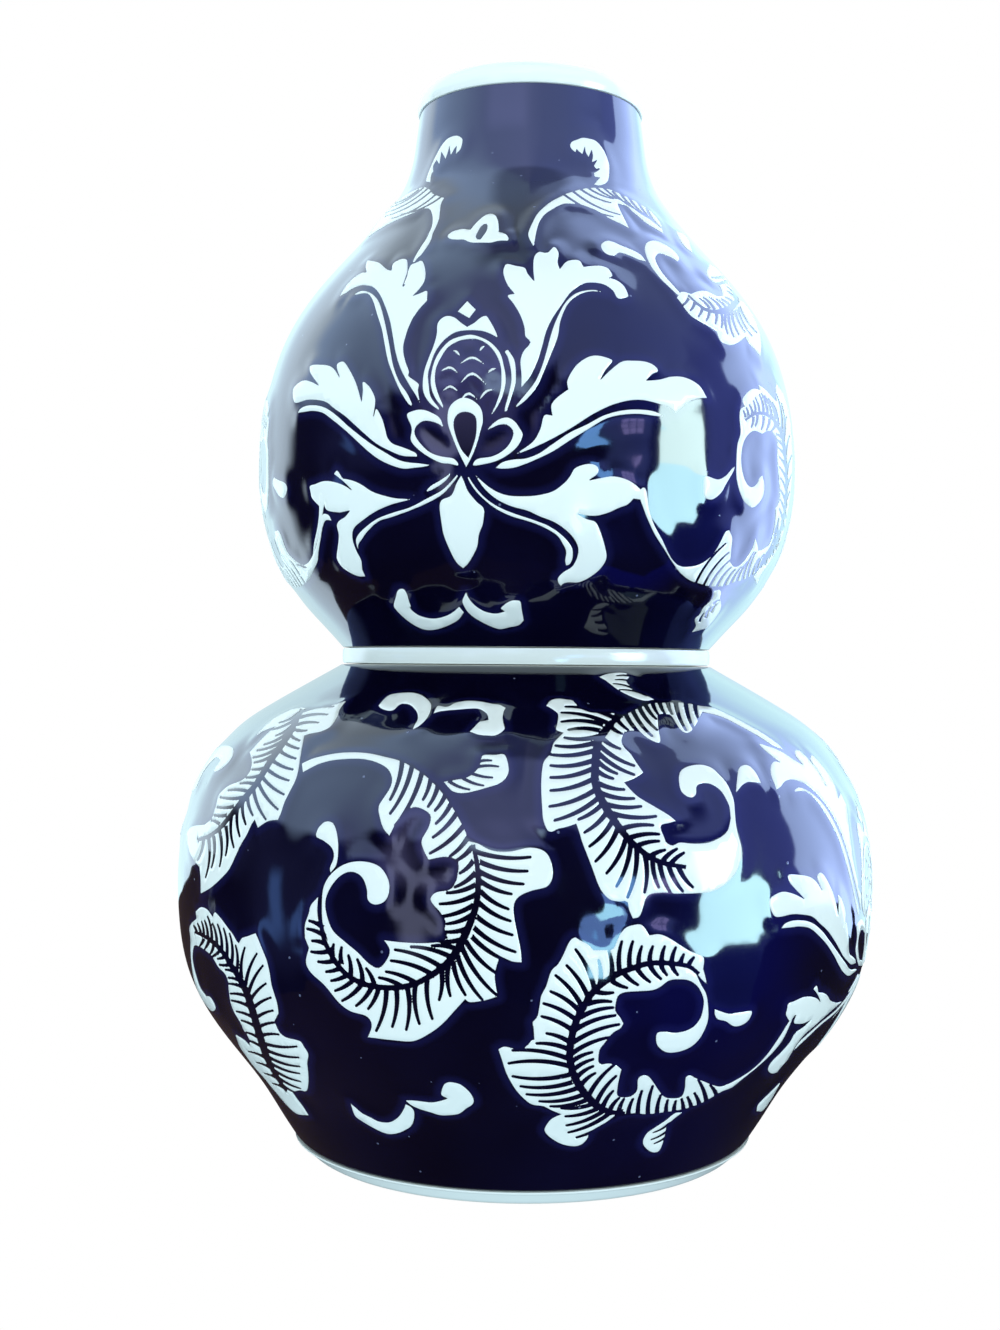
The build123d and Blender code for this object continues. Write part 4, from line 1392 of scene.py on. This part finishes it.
class VASE_OT_lower(bpy.types.Operator):
    """Lower bulb in blue glaze"""

    bl_idname = "vase.lower"
    bl_label = "Lower bulb"

    def execute(self, context):
        low, high = FOOT_TOP + 0.15, WAIST - 0.25
        obj = bulb("lower_bulb", low, high, context.scene.vase_mesh, context.scene.vase_glaze)
        on_body(obj, "blue_glaze", "lower_bowl", "lower_shoulder", "lower_belly_bead")
        return {"FINISHED"}


class VASE_OT_waist(bpy.types.Operator):
    """White band round the waist"""

    bl_idname = "vase.waist"
    bl_label = "Waist band"

    def execute(self, context):
        low, high = WAIST - 0.55, COLLAR_TOP + 0.5
        insets = [(WAIST_WALL, 0.0), (1.0, 0.0), (0.35, 0.05), (0.08, 0.5)]
        ring = [(WAIST_R - inset, low + up) for inset, up in insets]
        ring += [(WAIST_R - 0.02, (low + high) / 2)]
        ring += [(WAIST_R - inset, high - up) for inset, up in insets[::-1]]
        obj = white_ring("waist_band", ring, 320, context.scene.vase_glaze)
        on_body(obj, "white_glaze", "waist_collar")
        return {"FINISHED"}


class VASE_OT_upper(bpy.types.Operator):
    """Upper bulb and neck in blue glaze"""

    bl_idname = "vase.upper"
    bl_label = "Upper bulb"

    def execute(self, context):
        low, high = COLLAR_TOP + 0.25, NECK_TOP - 0.05
        obj = bulb("upper_bulb", low, high, context.scene.vase_mesh, context.scene.vase_glaze)
        on_body(obj, "blue_glaze", "upper_bowl", "upper_shoulder", "upper_belly_bead", "neck")
        return {"FINISHED"}


class VASE_OT_lip(bpy.types.Operator):
    """White rounded lip"""

    bl_idname = "vase.lip"
    bl_label = "Lip"

    def execute(self, context):
        bore = LIP_R - LIP_WALL
        ring = [(bore + LIP_INSET, NECK_TOP - 0.4), (LIP_R - 1.2, NECK_TOP - 0.4)]
        ring += [(LIP_R - 0.25, NECK_TOP - 0.1), (LIP_R - LIP_INSET, NECK_TOP + 0.4)]
        for middle, roll, start, count in (
            (LIP_R - LIP_ROLL, LIP_ROLL, 0, 14),
            (bore + LIP_INNER_ROLL, LIP_INNER_ROLL, 90, 8),
        ):
            ring += arc(middle, TOP - roll, roll - LIP_INSET, start, start + 90, count)
        obj = white_ring("lip", ring, 240, context.scene.vase_glaze)
        on_body(obj, "white_glaze", "lip_ring")
        return {"FINISHED"}


class VASE_OT_ornament(bpy.types.Operator):
    """White feathers, scrolls and lotus flowers on both bulbs"""

    bl_idname = "vase.ornament"
    bl_label = "Ornament"

    def execute(self, context):
        for name in ORNAMENTS:
            on_body(raised(name, context.scene.vase_glaze), "white_glaze")
        return {"FINISHED"}


# ---------------------------------------------------------------- the stage

# What the glaze mirrors. Azimuths are 0 towards the camera and grow to the right, heights
# are above the horizon, both in degrees. Colours may be brighter than white

# The ceiling's tint by a share of the azimuths from -110 to 110
CEILING_TINT = (
    (0.0, (0.56, 0.78, 1.14)),
    (0.15, (0.49, 0.68, 1.04)),
    (0.28, (0.32, 0.40, 0.78)),
    (0.47, (0.38, 0.45, 0.94)),
    (0.56, (0.24, 0.30, 0.74)),
    (0.7, (0.22, 0.29, 0.78)),
    (1.0, (0.26, 0.34, 0.76)),
)
DARK_ROOM = (0.015, 0.013, 0.030)

# Patches of the room: azimuths, heights, soft borders of both, colour and how it is laid on
PATCHES = (
    ((80.0, 140.0), (-12.0, 34.0), (2.0, 6.0), (0.33, 0.42, 1.25), "MIX"),
    ((50.0, 115.0), (-30.0, 40.0), (20.0, 22.0), (0.03, 0.06, 0.75), "ADD"),
    ((-46.0, -4.0), (8.0, 34.0), (8.0, 8.0), (0.45, 0.45, 1.0), "ADD"),
    ((-20.0, 1.0), (21.0, 27.0), (4.0, 1.6), (1.8, 2.6, 3.4), "ADD"),
    ((-38.0, -31.0), (-14.0, 20.0), (2.0, 4.0), (1.1, 1.2, 1.9), "ADD"),
    ((-95.0, -70.0), (-20.0, 12.0), (8.0, 8.0), (0.05, 0.06, 0.20), "ADD"),
    ((-87.0, -82.0), (-13.0, 3.0), (1.5, 3.0), (0.28, 0.62, 1.7), "ADD"),
    ((35.0, 51.0), (-4.0, 9.0), (2.0, 3.0), (0.25, 0.36, 1.15), "ADD"),
)

# The backdrop's tone, left and right, by the share of a direction that points away from the eye
BACKDROP_SHARES = (0.6, 0.75, 0.85, 0.93, 1.0)
BACKDROP_TONES = (
    (
        (0.27, 0.33, 0.385),
        (0.216, 0.272, 0.32),
        (0.212, 0.285, 0.315),
        (0.150, 0.200, 0.215),
        (0.086, 0.108, 0.115),
    ),
    (
        (0.39, 0.52, 0.92),
        (0.235, 0.34, 0.49),
        (0.213, 0.32, 0.368),
        (0.164, 0.243, 0.261),
        (0.085, 0.110, 0.130),
    ),
)

# What is mirrored by a mirrored part of the glaze is darker and bluer
SECOND_TINT = (0.0, 0.02, 0.14)

EVEN_TINT = (0.86, 1.0, 1.02)

# Glowing panes: azimuths, slopes from the eye's height, colour, strength, distance in metres
PANES = {
    "window_high": ((53.5, 75), (5, 18), (0.74, 1.0, 1.0), 15.0, 1.0),
    "window_low": ((53.5, 75), (-16, 5), (0.52, 0.88, 1.0), 16.5, 1.0),
    "side_pane": ((25, 34), (-5, 8), (0.19, 0.47, 1.0), 9.0, 3.0),
    "near_pane_high": ((17.8, 23.8), (-12.9, -5.8), (0.21, 0.41, 1.0), 6.0, 0.52),
    "near_pane_low": ((17.8, 23.8), (-25.6, -12.9), (0.36, 0.75, 1.0), 15.5, 0.52),
}
for row in range(3):
    for column in range(3):
        across, up = 39.5 + 2.6 * column, -3.5 + 3.4 * row
        directions = (across, across + 2.2), (up, up + 3.0)
        PANES[f"far_pane_{row}_{column}"] = (*directions, (0.45, 0.41, 1.0), 4.4, 3.0)

# The dark table: its radius in metres, its sides, where its edge shows behind the vase, and
# the height of that edge in millimetres by azimuth
TABLE_RADIUS = 0.19
TABLE_SIDES = 72
TABLE_FRONT = (-86, 58)
TABLE_EDGE = (
    (-180, 42),
    (-140, 46),
    (-120, 56),
    (-103, 74),
    (-95, 92),
    (90, 62),
    (98, 48),
    (108, 40),
    (140, 38),
    (180, 42),
)

FLOOR_SIZE = 6
FLOOR_GLOW = (0.66, 0.84, 0.90)
KEY_SIZE = (1.2, 0.9)
KEY_ENERGY = 3.5
KEY_PLACE = (0.35, -0.9, 1.1)
KEY_AIM = (0, 0, 0.15)
SENSOR = 36.0


def room(nodes, azimuth, height, sky):
    """The dark room and its violet ceiling, greyer to the left and bluer to the right."""
    turn = nodes.remap(azimuth, -110.0, 110.0, 0.0, 1.0, "LINEAR")
    above = nodes.calc("SUBTRACT", height, nodes.remap(azimuth, -80.0, -10.0, 15.0, 28.0))
    ceiling = nodes.times(
        nodes.ramp(turn, *CEILING_TINT), nodes.remap(above, -3.0, 4.0, 0.0, sky * 2.0)
    )
    seen = nodes.mix(1.0, DARK_ROOM, ceiling, "ADD")
    for azimuths, heights, soft, colour, blend in PATCHES:
        across = nodes.between(azimuth, *azimuths, soft[0])
        up = nodes.between(height, *heights, soft[1])
        seen = nodes.mix(nodes.calc("MULTIPLY", across, up), seen, colour, blend)
    return seen


def backdrop(nodes, way, height, strength):
    """Where the bright backdrop behind the vase is, and its colour, dimmer straight behind."""
    x, y, z = way
    lean = nodes.remap(x, -0.02, 0.02, 0.42, 0.13)
    lower = nodes.calc("MULTIPLY", nodes.calc("MINIMUM", z, 0.0), -0.35)
    edge = nodes.calc("MULTIPLY", nodes.calc("ADD", lean, lower), nodes.calc("ABSOLUTE", x))
    soft = nodes.remap(x, -0.1, 0.1, 0.2, 0.03)
    behind = nodes.calc("DIVIDE", nodes.calc("SUBTRACT", y, edge), soft)
    tones = [nodes.ramp(y, *zip(BACKDROP_SHARES, tones)) for tones in BACKDROP_TONES]
    tone = nodes.mix(nodes.remap(x, -0.1, 0.1, 0.0, 1.0), *tones)
    fade = nodes.remap(height, 30.0, 56.0, strength, strength * 0.6)
    return nodes.remap(behind, 0.0, 1.0, 0.0, 1.0), nodes.times(tone, fade)


def studio_world(values):
    """White for the camera, even light for the vase, and for the glaze a room to mirror."""
    world = bpy.context.scene.world or bpy.data.worlds.new("studio")
    bpy.context.scene.world = world
    world.use_nodes = True
    nodes = Nodes(world.node_tree, clear=True)
    x, y, z = way = nodes.parts(nodes.add("TexCoord").outputs["Generated"])
    front = nodes.calc("MULTIPLY", y, -1.0)
    azimuth = nodes.calc("DEGREES", nodes.calc("ARCTAN2", x, front))
    height = nodes.calc("DEGREES", nodes.calc("ARCSINE", z))
    wall, bright = backdrop(nodes, way, height, values.backdrop)
    seen = nodes.mix(wall, room(nodes, azimuth, height, values.sky), bright)
    seen = nodes.times(seen, nodes.remap(height, 72.0, 80.0, 1.0, 0.4))
    seen = nodes.times(seen, nodes.mix(nodes.first_mirror(1.0, 2.0), SECOND_TINT, WHITE))
    # the even light is strongest from the sides
    ends = 2.4 * values.ambient, 0.53 * values.ambient
    even_light = nodes.times(EVEN_TINT, nodes.remap(nodes.calc("ABSOLUTE", z), 0.05, 0.42, *ends))
    path = nodes.add("LightPath").outputs
    colour = nodes.mix(path["Is Glossy Ray"], even_light, seen)
    colour = nodes.mix(path["Is Camera Ray"], colour, WHITE)
    back = nodes.add("Background", {"Color": colour})
    nodes.add("OutputWorld", {0: back.outputs[0]})


def glowing(name, strength, colour):
    """A material that only glows; its colour may be a function that adds nodes for it."""
    mat = bpy.data.materials.new(name)
    mat.use_nodes = True
    nodes = Nodes(mat.node_tree, clear=True)
    if callable(colour):
        colour = colour(nodes)
    glow = nodes.add("Emission", {"Color": colour, "Strength": nodes.first_mirror(strength)})
    nodes.add("OutputMaterial", {0: glow.outputs[0]})
    return mat


def mirrored_only(obj):
    obj.visible_camera = False
    obj.visible_diffuse = False
    obj.visible_shadow = False


def pane(name, azimuths, heights, colour, strength, distance):
    """An upright glowing pane, seen only in the glaze, between two azimuths and two slopes."""
    bpy.ops.object.select_all(action="DESELECT")
    bpy.ops.mesh.primitive_plane_add(size=1)
    obj = bpy.context.object
    obj.name = name
    a = math.radians(sum(azimuths) / 2)
    width = 2 * distance * math.tan(math.radians(azimuths[1] - azimuths[0]) / 2)
    low, high = (EYE_HEIGHT * MM + distance * math.tan(math.radians(h)) for h in heights)
    centre = Vector((distance * math.sin(a), -distance * math.cos(a), (low + high) / 2))
    turn = Matrix.Rotation(a, 4, "Z") @ Matrix.Rotation(math.radians(90), 4, "X")
    size = Matrix.Diagonal((width, high - low, 1, 1))
    obj.data.transform(Matrix.Translation(centre) @ turn @ size)
    obj.data.materials.append(glowing(name, strength, colour))
    mirrored_only(obj)


def table_glow(nodes):
    """Painted glow of the table: near black, browner to the left, and blue to the right in front,
    painted light for how the lit table looks.
    """
    _, (x, y, _) = nodes.coords()
    side, fore = nodes.remap(x, -0.02, 0.16, 0.0, 1.0), nodes.remap(y, -0.12, -0.02, 1.0, 0.0)
    brown = nodes.remap(x, -0.12, 0.0, 1.0, 0.0)
    dark = nodes.mix(brown, (0.022, 0.018, 0.026), (0.05, 0.034, 0.034))
    return nodes.mix(nodes.calc("MULTIPLY", side, fore), dark, (0.02, 0.025, 0.62))


def table():
    """The dark table top round the vase and its edge behind, seen only in the glaze; it glows with
    painted light instead of being lit.
    """
    azimuths = np.linspace(-180, 180, TABLE_SIDES + 1)[:-1]
    points = []
    for a in np.radians(azimuths):
        points.append((TABLE_RADIUS * math.sin(a), -TABLE_RADIUS * math.cos(a), -0.0005))
    faces = [tuple(range(TABLE_SIDES))]
    behind = [i for i, a in enumerate(azimuths) if not TABLE_FRONT[0] < a < TABLE_FRONT[1]]
    above = {i: TABLE_SIDES + k for k, i in enumerate(behind)}
    for i in behind:
        points.append((*points[i][:2], np.interp(azimuths[i], *zip(*TABLE_EDGE)) * MM))
        after = (i + 1) % TABLE_SIDES
        if after in above:
            faces.append((i, after, above[after], above[i]))
    obj = new_object("table", points, [], faces)
    obj.data.materials.append(glowing("glowing_table", 1.0, table_glow))
    mirrored_only(obj)


def pale_floor():
    """A floor that looks white, and gives back a pale cool light and no reflection."""
    bpy.ops.object.select_all(action="DESELECT")
    bpy.ops.mesh.primitive_plane_add(size=FLOOR_SIZE)
    floor = bpy.context.object
    floor.name = "floor"
    mat, nodes = material("pale_floor")
    if nodes:
        nodes.finish(Base_Color=(0.9, 0.9, 0.9), Roughness=0.9, Specular_IOR_Level=0.0)
        path = nodes.add("LightPath").outputs
        camera, diffuse = path["Is Camera Ray"], path["Is Diffuse Ray"]
        glow = nodes.add("Emission", {"Color": nodes.mix(camera, FLOOR_GLOW, WHITE)})
        plain = nodes.nodes["Principled BSDF"].outputs[0]
        seen = nodes.calc("MAXIMUM", camera, diffuse)
        blend = nodes.add("MixShader", {0: seen, 1: plain, 2: glow.outputs[0]})
        nodes.feed(nodes.nodes["Material Output"].inputs["Surface"], blend.outputs[0])
        mat.cycles.emission_sampling = "NONE"
    floor.data.materials.append(mat)
    floor.visible_glossy = False


def key_light():
    """A soft area light over the camera's right shoulder, not seen in the glaze."""
    bpy.ops.object.light_add(type="AREA")
    key = bpy.context.object
    key.name = "key"
    key.data.shape = "RECTANGLE"
    key.data.size, key.data.size_y = KEY_SIZE
    key.data.energy = KEY_ENERGY
    key.location = KEY_PLACE
    key.rotation_euler = (Vector(KEY_AIM) - key.location).to_track_quat("-Z", "Y").to_euler()
    key.visible_glossy = False


def camera():
    """The level eye that the pattern was drawn from."""
    bpy.ops.object.camera_add()
    eye = bpy.context.object
    eye.data.sensor_fit = "VERTICAL"
    eye.data.sensor_height = SENSOR
    eye.data.lens = EYE_FOCUS / PAGE[1] * SENSOR
    eye.data.shift_x = -(EYE_CENTRE[0] - PAGE[0] / 2) / PAGE[1]
    eye.data.shift_y = (EYE_CENTRE[1] - PAGE[1] / 2) / PAGE[1]
    eye.data.clip_start = 0.01
    place = Matrix.Translation((0, -EYE_DISTANCE * MM, EYE_HEIGHT * MM))
    upright = place @ Matrix.Rotation(math.radians(90), 4, "X")
    eye.matrix_world = upright @ Matrix.Rotation(EYE_ROLL, 4, "Z")
    return eye


class VASE_OT_stage(bpy.types.Operator):
    """Camera, pale floor, studio light and the room and windows that the glaze mirrors"""

    bl_idname = "vase.stage"
    bl_label = "Stage"

    def execute(self, context):
        values = context.scene.vase_stage
        studio_world(values)
        pale_floor()
        for name, (azimuths, heights, colour, strength, distance) in PANES.items():
            pane(name, azimuths, heights, colour, strength * values.window, distance)
        table()
        key_light()
        context.scene.camera = camera()
        context.scene.view_settings.view_transform = "Standard"
        return {"FINISHED"}


class VASE_PT_panel(bpy.types.Panel):
    """Vase settings and steps"""

    bl_label = "Double gourd vase"
    bl_idname = "VASE_PT_panel"
    bl_space_type = "VIEW_3D"
    bl_region_type = "UI"
    bl_category = "Vase"

    def draw(self, context):
        for owner in (context.scene.vase_glaze, context.scene.vase_mesh, context.scene.vase_stage):
            box = self.layout.box()
            for key in owner.bl_rna.properties.keys():
                if key not in ("rna_type", "name"):
                    box.prop(owner, key)
        for step in STEPS:
            self.layout.operator(step.bl_idname)


STEPS = (
    VASE_OT_foot,
    VASE_OT_lower,
    VASE_OT_waist,
    VASE_OT_upper,
    VASE_OT_lip,
    VASE_OT_ornament,
    VASE_OT_stage,
)
CLASSES = (VaseGlaze, VaseMesh, VaseStage, *STEPS, VASE_PT_panel)


def register():
    for cls in CLASSES:
        bpy.utils.register_class(cls)
    bpy.types.Scene.vase_glaze = PointerProperty(type=VaseGlaze)
    bpy.types.Scene.vase_mesh = PointerProperty(type=VaseMesh)
    bpy.types.Scene.vase_stage = PointerProperty(type=VaseStage)


def unregister():
    del bpy.types.Scene.vase_stage
    del bpy.types.Scene.vase_mesh
    del bpy.types.Scene.vase_glaze
    for cls in reversed(CLASSES):
        bpy.utils.unregister_class(cls)


def main():
    register()
    bpy.ops.vase.foot()
    bpy.ops.vase.lower()
    bpy.ops.vase.waist()
    bpy.ops.vase.upper()
    bpy.ops.vase.lip()
    bpy.ops.vase.ornament()
    bpy.ops.vase.stage()


if __name__ == "__main__":
    main()
